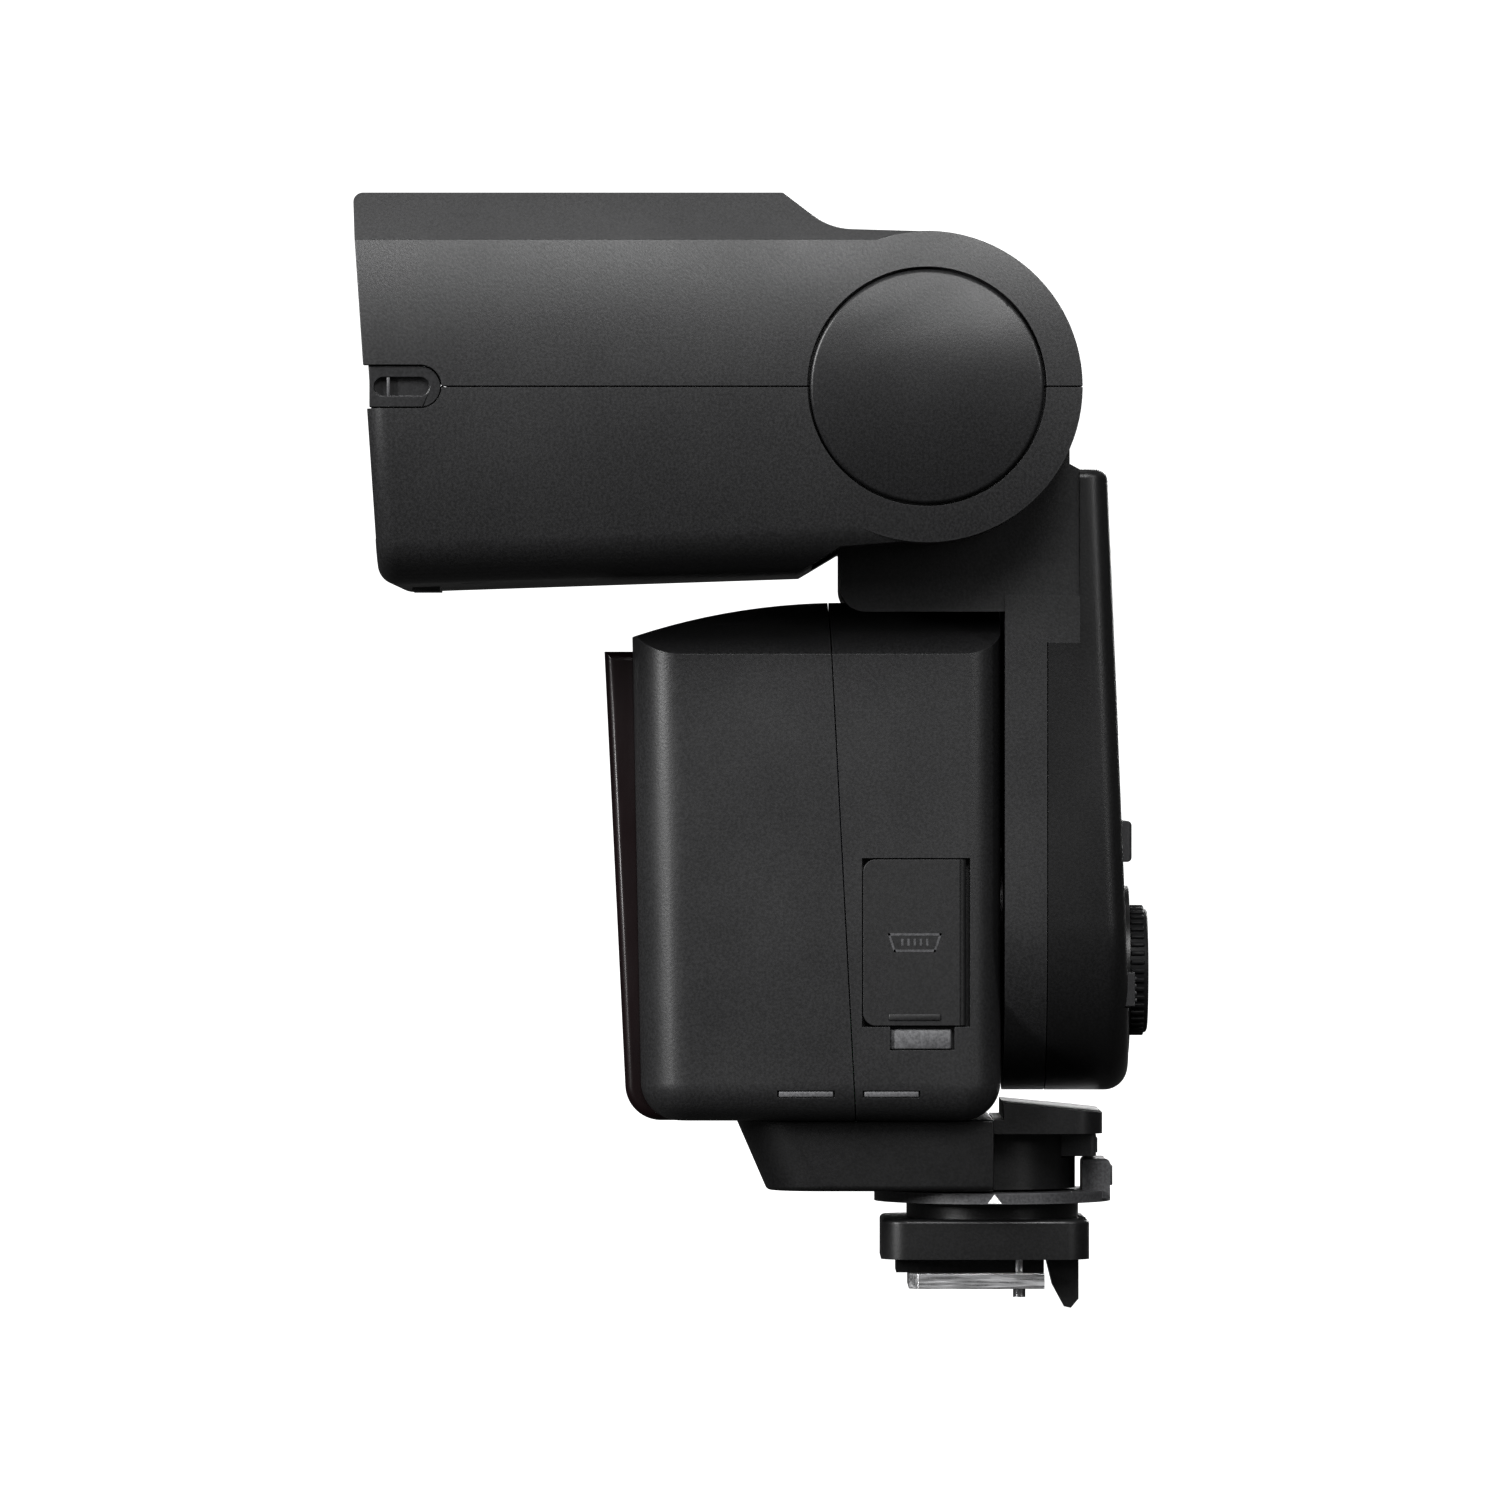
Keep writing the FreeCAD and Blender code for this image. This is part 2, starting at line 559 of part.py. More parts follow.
pocket(neck, "XZ", [circle(0, neck_under - arch_radius, arch_radius)], neck_front - 1, S.panel_front)
pad(neck, "YZ", [[(S.panel_front, S.swing_height), (S.strip_back, S.swing_height), (S.strip_back, seam_z),
                  (S.seam_back, seam_z), (S.seam_back, seam_z + 6), (S.panel_front, seam_z + 6)]],
    -half_panel, half_panel)
pad(neck, "XZ", [circle(0, S.swing_height, half_panel)], S.panel_front, S.strip_back)
# hollow neck and panel, with the axle and shaft bores
pocket(neck, "YZ", [circle(tilt_y, tilt_z, S.barrel_radius - S.wall)], -neck_inner, neck_inner)
pocket(neck, "YZ", [[(neck_front + S.wall, neck_under + S.wall),
                     (S.panel_front + S.wall, neck_under + S.wall),
                     (S.panel_front + S.wall, seam_z), (S.seam_back + 1, seam_z),
                     (S.seam_back + 1, panel_high - S.wall - 0.9), (tilt_y + 16, panel_high - S.wall - 0.9),
                     (tilt_y + 10, tilt_z - 2), (neck_front + S.wall, tilt_z - 2)]], -neck_inner, neck_inner)
pocket(neck, "XZ", [mirrored([(neck_inner, S.swing_height)], [(neck_inner, seam_z + 1)])],
       S.panel_front + S.wall, S.strip_back + 1)
pocket(neck, "XZ", [circle(0, S.swing_height, neck_inner)], S.panel_front + S.wall, S.strip_back + 1)
pocket(neck, "YZ", [circle(tilt_y, tilt_z, S.axle_radius)], -half_neck - 1, half_neck + 1)
pocket(neck, "XZ", [circle(0, S.swing_height, S.shaft_radius)], S.panel_front - 1,
       S.panel_front + S.wall + 1)
keep(neck)

axle_half = half_head - S.cap_depth - 1.5
axle_solid = cylinder("axle_solid", "X", S.axle_radius, -axle_half, axle_half, tilt_y, tilt_z)
axle_bore = cylinder("axle_bore", "X", S.axle_radius - 1.5, -axle_half - 1, axle_half + 1, tilt_y, tilt_z)
keep(cut("tilt_axle", axle_solid, axle_bore))

detent = add_body("tilt_detent_disc")
detent_start = neck_inner - S.disc_thick - 1
pad(detent, "YZ", [circle(tilt_y, tilt_z, S.disc_radius), circle(tilt_y, tilt_z, S.axle_radius)],
    detent_start,
    detent_start + S.disc_thick)
notches = []
for step in range(8):
    turn = math.radians(20 * step - 10)
    notches.append(circle(tilt_y - S.disc_radius * math.cos(turn),
                          tilt_z + S.disc_radius * math.sin(turn), 1.0))
pocket(detent, "YZ", notches, detent_start - 1, detent_start + S.disc_thick + 1)
keep(detent)


def back_y(level, inset):
    """Where the panel's sloping back face is at a height, moved back by an inset."""
    low = S.swing_height - half_panel
    return S.back_low - (level - low) * (S.back_low - S.back_top) / (panel_high - low) + inset


# ---- Back half of the panel, its window, keys and dial ----------------------------------------------
rear = add_body("panel_rear_shell")
rear_top = panel_high - 0.7
rear_front = S.strip_back + S.seam_gap
pad(rear, "XZ", [[(-half_panel, S.swing_height), (half_panel, S.swing_height), (half_panel, rear_top),
                  (-half_panel, rear_top)]], rear_front, S.back_low + 2)
pad(rear, "XZ", [circle(0, S.swing_height, half_panel)], rear_front, S.back_low + 2)
pocket(rear, "YZ", [[(back_y(10, 0), 10), (S.back_low + 5, 10), (S.back_low + 5, rear_top + 1),
                     (back_y(rear_top + 1, 0), rear_top + 1)]], -half_panel - 1, half_panel + 1)
pocket(rear, "YZ", [[(S.strip_back - 1, seam_z), (S.seam_back, seam_z), (S.seam_back, rear_top + 1),
                     (S.strip_back - 1, rear_top + 1)]], -half_panel - 1, half_panel + 1)
soften(rear, S.panel_round, lambda e: abs(middle(e).y - back_y(middle(e).z, 0).number) < 0.7
       and e.BoundBox.ZLength > 8)
soften(rear, 1.2, lambda e: spans(e, 0) and middle(e).z > rear_top.number - 0.1 and middle(e).y > 14)
dial_z = S.swing_height - S.dial_drop
pad(rear, "XZ", [circle(0, dial_z, S.dial_radius + 2.5)], S.back_low - 2, S.back_low)
# inside: a box for the display and boards, then the window, key and dial openings
rear_inner = half_panel - S.wall
cave_back = back_y(S.swing_height, -S.wall)
pocket(rear, "YZ", [[(S.strip_back - 1, S.swing_height), (cave_back, S.swing_height),
                     (back_y(panel_high - 3, -S.wall), panel_high - 3), (S.strip_back - 1, panel_high - 3)]],
       -rear_inner, rear_inner)
pocket(rear, "XZ", [circle(0, S.swing_height, rear_inner)], S.strip_back - 1, cave_back)
window_half = S.window_width / 2
window_top = tilt_z - S.window_drop
window_low = window_top - S.window_high
pocket(rear, "XZ", [[(-window_half, window_low), (window_half, window_low), (window_half, window_top),
                     (-window_half, window_top)]], S.strip_back, S.back_low + 2)
key_z = tilt_z - S.key_drop
key_places = {"function_key": -S.key_pitch, "light_key": dim(0), "mode_key": S.key_pitch}
key_wires = []
for x in key_places.values():
    half_wide = S.key_width / 2
    half_high = S.key_height / 2
    key_wires.append([(x - half_wide, key_z - half_high), (x + half_wide, key_z - half_high),
                      (x + half_wide, key_z + half_high), (x - half_wide, key_z + half_high)])
pocket(rear, "XZ", key_wires, S.strip_back, S.back_low + 2)
pocket(rear, "XZ", [circle(-S.side_key, dial_z, S.side_key_radius), circle(0.01, dial_z, S.hub_radius),
                    [(S.side_key - 2.6, dial_z - 4.6), (S.side_key + 2.6, dial_z - 4.6),
                     (S.side_key + 2.6, dial_z + 4.6), (S.side_key - 2.6, dial_z + 4.6)]], S.strip_back,
                     S.back_low + 2)
keep(rear)

pane = add_body("display_window")
pad(pane, "YZ", [[(back_y(window_low, -1.6), window_low + S.fit_gap),
                  (back_y(window_low, 0.1), window_low + S.fit_gap),
                  (back_y(window_top, 0.1), window_top - S.fit_gap),
                  (back_y(window_top, -1.6), window_top - S.fit_gap)]],
    S.fit_gap - window_half, window_half - S.fit_gap)
keep(pane)
board_y = S.strip_back + 0.6
keep(block("display_module", (1.5 - window_half, board_y + S.board_thick, window_low + 1),
           (window_half - 1.5, S.back_top - 2.3, window_top - 1)))
keep(block("control_board", (-rear_inner + 3, board_y, S.swing_height - 8),
           (rear_inner - 3, board_y + S.board_thick, window_top + 1)))


def key_cap(label, wire, level, stand, depth, corner, test):
    """A moulded key with softened front edges, and a stem behind it."""
    body = add_body(label)
    face = back_y(level, stand)
    pad(body, "XZ", [wire], face - depth, face)
    soften(body, corner, test)
    return keep(body)


for label, x in key_places.items():
    half_wide = S.key_width / 2 - S.fit_gap
    half_high = S.key_height / 2 - S.fit_gap
    outline = [(x - half_wide, key_z - half_high), (x + half_wide, key_z - half_high),
               (x + half_wide, key_z + half_high), (x - half_wide, key_z + half_high)]
    key_cap(label, outline, key_z, 1.3, 5.0, 0.6, lambda e: middle(e).y > back_y(key_z, 1.2).number)
key_cap("test_key", circle(-S.side_key, dial_z, S.side_key_radius - S.fit_gap), dial_z, 1.2, 4.6, 0.5,
        lambda e: middle(e).y > back_y(dial_z, 1.1).number)
dial = add_body("control_dial")
dial_front = S.back_low + 0.15
dial_back = dial_front + S.dial_thick - 0.3
pad(dial, "XZ", [circle(0, dial_z, S.dial_radius), circle(0, dial_z, S.hub_radius)], dial_front, dial_back)
soften(dial, 0.4, lambda e: middle(e).y > dial_back.number - 0.01)
keep(dial)
hub = cylinder("hub_cap", "Y", S.hub_radius - S.fit_gap, S.back_low - 4.4, dial_back - 0.5, 0, dial_z)
keep(hub, "dial_key")
slider_plate = block("switch_plate", (S.side_key - 2.2, back_y(dial_z, -3.6), dial_z - 4.4),
                     (S.side_key + 2.2, back_y(dial_z, 1.0), dial_z))
keep(slider_plate, "power_switch")

# ---- Swing joint: flanged tube through the block's back wall ----------------------------------------
shaft_front = -4.0
flange_back = S.panel_front + S.wall + 1.5
shaft = cylinder("shaft_tube", "Y", S.shaft_radius, shaft_front, flange_back, 0, S.swing_height)
flange = cylinder("shaft_flange", "Y", S.flange_radius, S.panel_front + S.wall, flange_back, 0,
                  S.swing_height)
shaft_bore = cylinder("shaft_bore", "Y", S.shaft_bore, shaft_front - 1, flange_back + 1, 0, S.swing_height)
keep(cut("swing_shaft", fuse("shaft_solid", shaft, flange), shaft_bore))
ring_back = S.block_back - S.wall - 0.3
ring = cylinder("ring_outer", "Y", S.shaft_radius + 3, ring_back - 1.6, ring_back, 0, S.swing_height)
ring_hole = cylinder("ring_hole", "Y", S.shaft_radius, ring_back - 3, ring_back + 1, 0, S.swing_height)
keep(cut("swing_retainer", ring, ring_hole))

# ---- Battery block: a rounded case under a dome, parted by a sloping line ---------------------------
half_block = S.block_width / 2
block_inner = half_block - S.wall
crown = S.swing_height + S.dome_radius
crown_front = crown - S.crown_drop
case = add_body("block_case")
case_top_y = -S.block_front
case_low_y = -S.block_front + S.block_rake
pad(case, "YZ", [[(case_low_y, S.block_floor), (S.block_back, S.block_floor), (S.block_back, crown + 1),
                  (case_top_y, crown + 1)]], -half_block, half_block)
soften(case, S.nose_round,
       lambda e: middle(e).y < case_low_y.number + 0.1 and abs(middle(e).x) > half_block.number - 0.1
       and e.BoundBox.ZLength > 20)
soften(case, S.block_round, lambda e: spans(e, 2) and middle(e).y > S.block_back.number - 0.1)
soften(case, S.floor_round, lambda e: middle(e).z < S.block_floor.number + 0.01 and middle(e).y < 2)
far = S.dome_radius + 30
pocket(case, "XZ", [circle(0, S.swing_height, S.dome_radius), circle(0, S.swing_height, far)],
       case_top_y - 1, S.block_back + 1)
# inside of the case
inner_back = S.block_back - S.wall
pocket(case, "YZ", [[(case_low_y + S.wall, S.block_floor + S.wall), (inner_back, S.block_floor + S.wall),
                     (inner_back, crown - 9), (case_top_y + S.wall, crown - 9)]], -block_inner + 1.6,
                     block_inner - 1.6)
pocket(case, "YZ", [[(case_low_y + S.nose_round, S.block_floor + S.wall),
                     (inner_back - S.block_round + S.wall, S.block_floor + S.wall),
                     (inner_back - S.block_round + S.wall, crown - 9),
                     (case_low_y + S.nose_round, crown - 9)]],
       -block_inner, block_inner)
pocket(case, "XZ", [circle(0, S.swing_height, S.shaft_radius + S.run_gap)], inner_back - 1, S.block_back + 1)
# battery door opening on the left, terminal seat and two strap slots on the right, slots on the left too
door_front = case_low_y + S.nose_round + 0.2
door_back = -S.cage_back - 0.5
door_low = S.block_floor + 4.4
door_high = door_low + S.cell_length + 1.6
pocket(case, "YZ", [[(door_front, door_low), (door_back, door_low), (door_back, door_high),
                     (door_front, door_high)]],
       -half_block - 1, 1 - block_inner)
flap_pocket = [(-S.flap_front, S.flap_low), (-S.flap_back, S.flap_low), (-S.flap_back, S.flap_top),
               (-S.flap_front, S.flap_top)]
pocket(case, "YZ", [flap_pocket], half_block - S.flap_thick - 0.1, half_block + 1)
socket_y = -(S.flap_front + S.flap_back) / 2
socket_z = (S.flap_top + S.flap_low) / 2 + 1
pocket(case, "YZ", [[(socket_y - 4.5, socket_z - 6.5), (socket_y + 4.5, socket_z - 6.5),
                     (socket_y + 4.5, socket_z + 6.5),
                     (socket_y - 4.5, socket_z + 6.5)]], block_inner - 2, half_block)
pocket(case, "YZ", [[(-11.7, S.flap_low - 3), (-3.4, S.flap_low - 3), (-3.4, S.flap_low + 0.5),
                     (-11.7, S.flap_low + 0.5)]],
       half_block - 1.2, half_block + 1)
for slot_front in (-26.2, -15.2):
    for side in (1, -1):
        start, end = (half_block - 1.2, half_block + 1) if side > 0 else (-half_block - 1, 1.2 - half_block)
        if side < 0:
            start, end = start, end
        pocket(case, "YZ", [[(dim(slot_front), S.slot_level - 2), (slot_front + S.slot_long,
                                                                   S.slot_level - 2),
                             (slot_front + S.slot_long, S.slot_level - 2 + S.slot_high),
                             (dim(slot_front), S.slot_level - 2 + S.slot_high)]], start, end)
# the top curves down to the front
crown_y = S.block_back - S.crown_flat
brow = block("brow", (-half_block - 1, case_top_y - 2, crown - 12), (half_block + 1, crown_y, crown + 2))
roller = cylinder("roller", "X", S.crown_radius, -half_block - 2, half_block + 2, crown_y,
                  crown - S.crown_radius)
case_solid = cut("case_solid", case, cut("brow_waste", brow, roller))
half_seam = S.seam_gap / 2
side_front = add_body("front_side")
case_low = S.block_floor - 5
case_high = crown + 5
pad(side_front, "YZ", [[(dim(-80), case_low), (-S.parting_low - half_seam, case_low),
                        (-S.parting_top - half_seam, case_high), (dim(-80), case_high)]], -60, 60)
side_back = add_body("back_side")
pad(side_back, "YZ", [[(half_seam - S.parting_low, case_low), (dim(60), case_low), (dim(60), case_high),
                       (half_seam - S.parting_top, case_high)]], -60, 60)
keep(common("front_half", case_solid, side_front), "block_front_shell")
keep(common("back_half", case_solid, side_back), "block_rear_shell")

# dark window over the whole front of the block
visor = add_body("window_blank")
visor_high = crown_front - 1.6
case_slope = S.block_rake / (crown + 1 - S.block_floor)
visor_back = case_low_y + S.wall * 0.3
pad(visor, "YZ", [[(-S.window_low, S.block_floor), (case_low_y + S.floor_round, S.block_floor),
                   (case_low_y + S.floor_round, S.block_floor + S.wall * 0.2),
                   (case_low_y + S.wall * 0.85, S.block_floor + S.wall * 0.85),
                   (visor_back, S.block_floor + S.floor_round + 0.8),
                   (visor_back - (visor_high - S.block_floor) * case_slope, visor_high),
                   (-S.window_front, visor_high)]], -S.window_half, S.window_half)
soften(visor, S.toe_round, lambda e: spans(e, 0) and middle(e).y < -S.window_low.number + 0.1
       and middle(e).z < S.block_floor.number + 0.1)
soften(visor, S.visor_round, lambda e: middle(e).y < -S.window_low.number + 0.1
       and abs(middle(e).x) > S.window_half.number - 0.1)
keep(cut("front_window_solid", visor, case_solid), "front_window")

# ---- Battery bay ------------------------------------------------------------------------------------
cell_pitch = S.cell_radius * 2 + S.cell_gap
cage_left = -block_inner + 0.4
cage_right = cage_left + cell_pitch * 2 + S.cage_wall + 0.6
cage_back = -S.cage_back
cage_front = cage_back - cell_pitch * 2 - S.cage_wall * 2 - 0.4
cage_low = S.block_floor + S.wall + 0.2
cell_low = cage_low + S.cage_wall + 1.4
cell_high = cell_low + S.cell_length
cage_high = cell_high + 1.2 + S.cage_wall
cage_outer = block("cage_outer", (cage_left, cage_front, cage_low), (cage_right, cage_back, cage_high))
cage_space = block("cage_space", (cage_left - 1, cage_front + S.cage_wall, cage_low + S.cage_wall),
                   (cage_right - S.cage_wall, cage_back - S.cage_wall, cage_high - S.cage_wall))
keep(cut("battery_cage", cage_outer, cage_space))
cell_places = [(cage_left + 0.4 + S.cell_radius + cell_pitch * i,
                cage_front + S.cage_wall + 0.4 + S.cell_radius
                + cell_pitch * j) for i in (0, 1) for j in (0, 1)]
cells = []
for index, (x, y) in enumerate(cell_places):
    can = cylinder(f"cell_can_{index}", "Z", S.cell_radius, cell_low, cell_high - 1.2, x, y)
    tip = cylinder(f"cell_tip_{index}", "Z", S.cell_radius * 0.36, cell_high - 1.2, cell_high, x, y)
    cells.append(fuse(f"cell_{index}", can, tip))
keep(group("battery_cells", *cells))
plates = []
for index, (x, y) in enumerate(cell_places):
    plates.append(block(f"low_contact_{index}", (x - 4, y - 4, cage_low + S.cage_wall),
                        (x + 4, y + 4, cell_low)))
    plates.append(block(f"high_contact_{index}", (x - 4, y - 4, cell_high),
                        (x + 4, y + 4, cage_high - S.cage_wall)))
keep(group("battery_contacts", *plates))

can_radius = block_inner - S.can_gap - S.can_line
can_pitch = can_radius * 2 + 0.4
board_front = -S.cage_back - S.power_length
first_can = board_front - 0.6 - can_radius - can_pitch
can_low = S.block_floor + S.wall
cans = [cylinder(f"capacitor_{index}", "Z", can_radius, can_low, can_low + S.can_length, S.can_line,
                 first_can + can_pitch * index)
        for index in (0, 1)]
keep(group("flash_capacitors", *cans))
keep(block("power_board", (cage_right + 0.5, board_front, can_low),
           (cage_right + 0.5 + S.board_thick, -S.cage_back, crown - 12)))

# ---- Battery door on the left side, with its hinge pin and sliding latch ----------------------------
pin_x = -half_block + S.wall / 2
pin_y = door_front + 1.3
door = add_body("battery_door")
door_inner = -half_block + S.door_thick
pad(door, "YZ", [[(pin_y, door_low + S.door_clear), (door_back - S.door_clear, door_low + S.door_clear),
                  (door_back - S.door_clear, door_high - S.door_clear), (pin_y, door_high - S.door_clear)]],
    -half_block, door_inner)
pad(door, "XY", [circle(pin_x, pin_y, 0.98)], door_low + S.door_clear, door_high - S.door_clear)
pocket(door, "XY", [circle(pin_x, pin_y, S.hinge_radius + S.run_gap)], door_low - 1, door_high + 1)
latch_y = door_back - 6
latch_z = (door_low + door_high) / 2
pocket(door, "YZ", [[(latch_y - 2.5, latch_z - 7), (latch_y + 2.5, latch_z - 7),
                     (latch_y + 2.5, latch_z + 7),
                     (latch_y - 2.5, latch_z + 7)]], -half_block - 1, -half_block + 0.9)
keep(door)
keep(cylinder("door_pin", "Z", S.hinge_radius, door_low - 1, door_high + 1, pin_x, pin_y), "door_hinge_pin")
latch = add_body("door_latch")
pad(latch, "YZ", [[(latch_y - 2.2, latch_z - 6.6), (latch_y + 2.2, latch_z - 6.6),
                   (latch_y + 2.2, latch_z + 3.4),
                   (latch_y - 2.2, latch_z + 3.4)]], -half_block - 0.3, -half_block + 0.8)
keep(latch)

# ---- Terminal cover and socket on the right side ----------------------------------------------------
flap_pin_y = -S.flap_back - 1.3
flap_pin_x = half_block - S.flap_thick / 2
flap = add_body("terminal_cover")
pad(flap, "YZ", [[(S.fit_gap - S.flap_front, S.flap_low + S.fit_gap), (flap_pin_y, S.flap_low + S.fit_gap),
                  (flap_pin_y, S.flap_top - S.fit_gap), (S.fit_gap - S.flap_front, S.flap_top - S.fit_gap)]],
    half_block - S.flap_thick, half_block + 0.2)
soften(flap, 1.6, lambda e: spans(e, 0) and middle(e).y < -S.flap_front.number + 1)
pad(flap, "XY", [circle(flap_pin_x, flap_pin_y, S.flap_thick / 2)], S.flap_low + S.fit_gap,
    S.flap_top - S.fit_gap)
keep(flap)
socket = add_body("terminal_socket")
pad(socket, "YZ", [[(socket_y - 4.2, socket_z - 6.2), (socket_y + 4.2, socket_z - 6.2),
                    (socket_y + 4.2, socket_z + 6.2),
                    (socket_y - 4.2, socket_z + 6.2)]], cage_right + 0.5 + S.board_thick,
                    half_block - S.flap_thick - 0.5)
pocket(socket, "YZ", [[(socket_y - 1.4, socket_z - 3.6), (socket_y + 1.4, socket_z - 3.6),
                       (socket_y + 1.4, socket_z + 3.6),
                       (socket_y - 1.4, socket_z + 3.6)]], block_inner - 4, half_block)
keep(socket)

# ---- Pedestal, rear cover and release button --------------------------------------------------------
half_pedestal = S.pedestal_width / 2
pedestal = add_body("pedestal")
pad(pedestal, "YZ", [[(-S.pedestal_toe, S.pedestal_floor), (S.cover_front, S.pedestal_floor),
                      (S.cover_front, S.block_floor), (-S.pedestal_front, S.block_floor)]],
                      -half_pedestal, half_pedestal)
soften(pedestal, 7.0,
       lambda e: middle(e).y < -S.pedestal_toe.number + 0.1 and abs(middle(e).x) > half_pedestal.number - 0.1
       and e.BoundBox.ZLength > 5)
soften(pedestal, 0.8, lambda e: middle(e).z < S.pedestal_floor.number + 0.01 and middle(e).y < 1.5)
pocket(pedestal, "XY", [circle(0, S.foot_centre, S.stud_radius)], S.pedestal_floor - 1, S.pedestal_floor + 4)
keep(pedestal)

cover = add_body("foot_rear_cover")
pad(cover, "YZ", [[(S.cover_front, S.ledge_low), (S.ledge_back, S.ledge_low),
                   (S.ledge_back, S.ledge_top - 1.2),
                   (S.block_back + 0.5, S.ledge_top), (S.block_back + 0.5, S.block_floor),
                   (S.cover_front, S.block_floor)]],
    -S.ledge_half, S.ledge_half)
soften(cover, 4.0, lambda e: spans(e, 2) and middle(e).y > S.ledge_back.number - 0.1)
pad(cover, "XY", [circle(0, S.foot_centre, S.turret_radius)], S.pedestal_floor, S.ledge_low + 0.5)
pocket(cover, "YZ", [[(S.cover_front - 15, S.pedestal_floor - 1), (S.cover_front, S.pedestal_floor - 1),
                      (S.cover_front, S.ledge_low + 2), (S.cover_front - 15, S.ledge_low + 2)]], -20, 20)
pocket(cover, "XY", [circle(0, S.foot_centre, S.stud_radius)], S.pedestal_floor - 1, S.pedestal_floor + 4)
release_top = S.ledge_low - 0.2
pocket(cover, "XZ", [[(-S.release_half - 0.2, S.release_low - 0.2),
                      (S.release_half + 0.2, S.release_low - 0.2),
                      (S.release_half + 0.2, release_top + 0.1),
                      (-S.release_half - 0.2, release_top + 0.1)]],
       S.cover_front + 2.5, S.ledge_back + 1)
keep(cover)
release = add_body("release_button")
pad(release, "XZ", [[(-S.release_half, S.release_low), (S.release_half, S.release_low),
                     (S.release_half, release_top - 0.1), (-S.release_half, release_top - 0.1)]],
    S.cover_front + 5, S.release_back)
soften(release, 0.8, lambda e: spans(e, 2) and middle(e).y > S.release_back.number - 0.1)
keep(release)

# ---- Lock ring with its lever -----------------------------------------------------------------------
lever = add_body("lock_lever")
pad(lever, "XY", [circle(0, S.foot_centre, S.ring_radius), circle(0, S.foot_centre,
                                                                  S.stud_radius + S.run_gap)], S.ring_low,
                                                                  S.ring_high)
lever_half = 5.5
pad(lever, "XY", [[(-lever_half, S.foot_centre + 11.6), (lever_half, S.foot_centre + 11.6),
                   (lever_half + 0.8, S.foot_centre + 15.2), (-lever_half - 0.8, S.foot_centre + 15.2)]],
    S.ring_high - 1, S.lever_high)
soften(lever, 0.7, lambda e: middle(e).z > S.lever_high.number - 0.01)
keep(lever)

# ---- Foot: collar and block, metal shoe plate, contact and lock pin ---------------------------------
foot = add_body("foot_block")
foot_wire = [(-S.foot_half, -S.foot_front), (S.foot_half, -S.foot_front), (S.foot_half, S.foot_rear),
             (-S.foot_half, S.foot_rear)]
pad(foot, "XY", [foot_wire], S.block_low, S.collar_low)
soften(foot, 3.5, lambda e: spans(e, 2))
soften(foot, 0.6, lambda e: middle(e).z > S.collar_low.number - 0.01)
pad(foot, "XY", [circle(0, S.foot_centre, S.collar_radius)], S.collar_low, S.ring_low - 0.1)
pad(foot, "XY", [circle(0, S.foot_centre, S.stud_radius)], S.ring_low - 0.2, S.pedestal_floor + 4)
rail_back = S.plate_rear
pad(foot, "XY", [[(-S.rail_half, -S.plate_front - 1.6), (S.rail_half, -S.plate_front - 1.6),
                  (S.rail_half, rail_back),
                  (-S.rail_half, rail_back)]], S.plate_thick, S.block_low + 0.1)
hook_half = S.hook_width / 2
pad(foot, "YZ", [[(S.plate_rear + 1.3, dim(0)), (S.plate_rear + 2.6, -S.hook_drop),
                  (S.hook_back - 1.0, -S.hook_drop - 0.2),
                  (S.hook_back, 1.0 - S.hook_drop), (S.hook_back, S.block_low + 0.1),
                  (S.plate_rear + 0.3, S.block_low + 0.1)]],
    -hook_half, hook_half)
pocket(foot, "XY", [circle(0.01, S.contact_y, S.contact_radius + S.run_gap)], S.plate_thick - 3,
       S.block_low + 3)
pocket(foot, "XY", [circle(S.pin_x, S.pin_y, S.pin_radius + S.run_gap)], S.plate_thick - 3,
       S.collar_low + 1.0)
keep(foot)

plate = add_body("shoe_plate")
plate_half = S.plate_width / 2
pad(plate, "XY", [[(-plate_half, -S.plate_front + 1.2), (-plate_half + 1.2, -S.plate_front),
                   (plate_half - 1.2, -S.plate_front),
                   (plate_half, -S.plate_front + 1.2), (plate_half, S.plate_rear),
                   (-plate_half, S.plate_rear)]],
    0, S.plate_thick)
pocket(plate, "XY", [circle(0.01, S.contact_y, S.contact_radius + 0.5),
                     circle(S.pin_x, S.pin_y, S.pin_radius + 0.3)],
       -1, S.plate_thick + 1)
keep(plate)
contact = cylinder("contact_stem", "Z", S.contact_radius, -0.4, S.block_low + 2.0, 0, S.contact_y)
keep(contact, "spring_contact")
keep(cylinder("lock_pin", "Z", S.pin_radius, -1.2, S.collar_low - 0.3, S.pin_x, S.pin_y))

# ---- Checks and files -------------------------------------------------------------------------------
doc.recompute()
for thing in doc.Objects:
    if "Invalid" in thing.State or "Error" in thing.State:
        raise RuntimeError(f"{thing.Label} did not build: {thing.State}")
os.makedirs("parts", exist_ok=True)
for thing in NODES:
    shape = thing.Shape
    if shape.isNull() or not shape.isValid() or not shape.Solids:
        raise RuntimeError(f"{thing.Label} has no valid solid")
    shape.exportStep(f"parts/{thing.Label}.step")
print(len(NODES), "sub-parts written")
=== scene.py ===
# %% [markdown]
# # A speedlight flash
# This notebook dresses a working mechanical model of a large camera flash. The frame holds every part
# at its real size, in metres, and knows how each one moves. The steps below add the finishes and the
# detail that moulding tools, filters and knurled knobs have on the real thing.

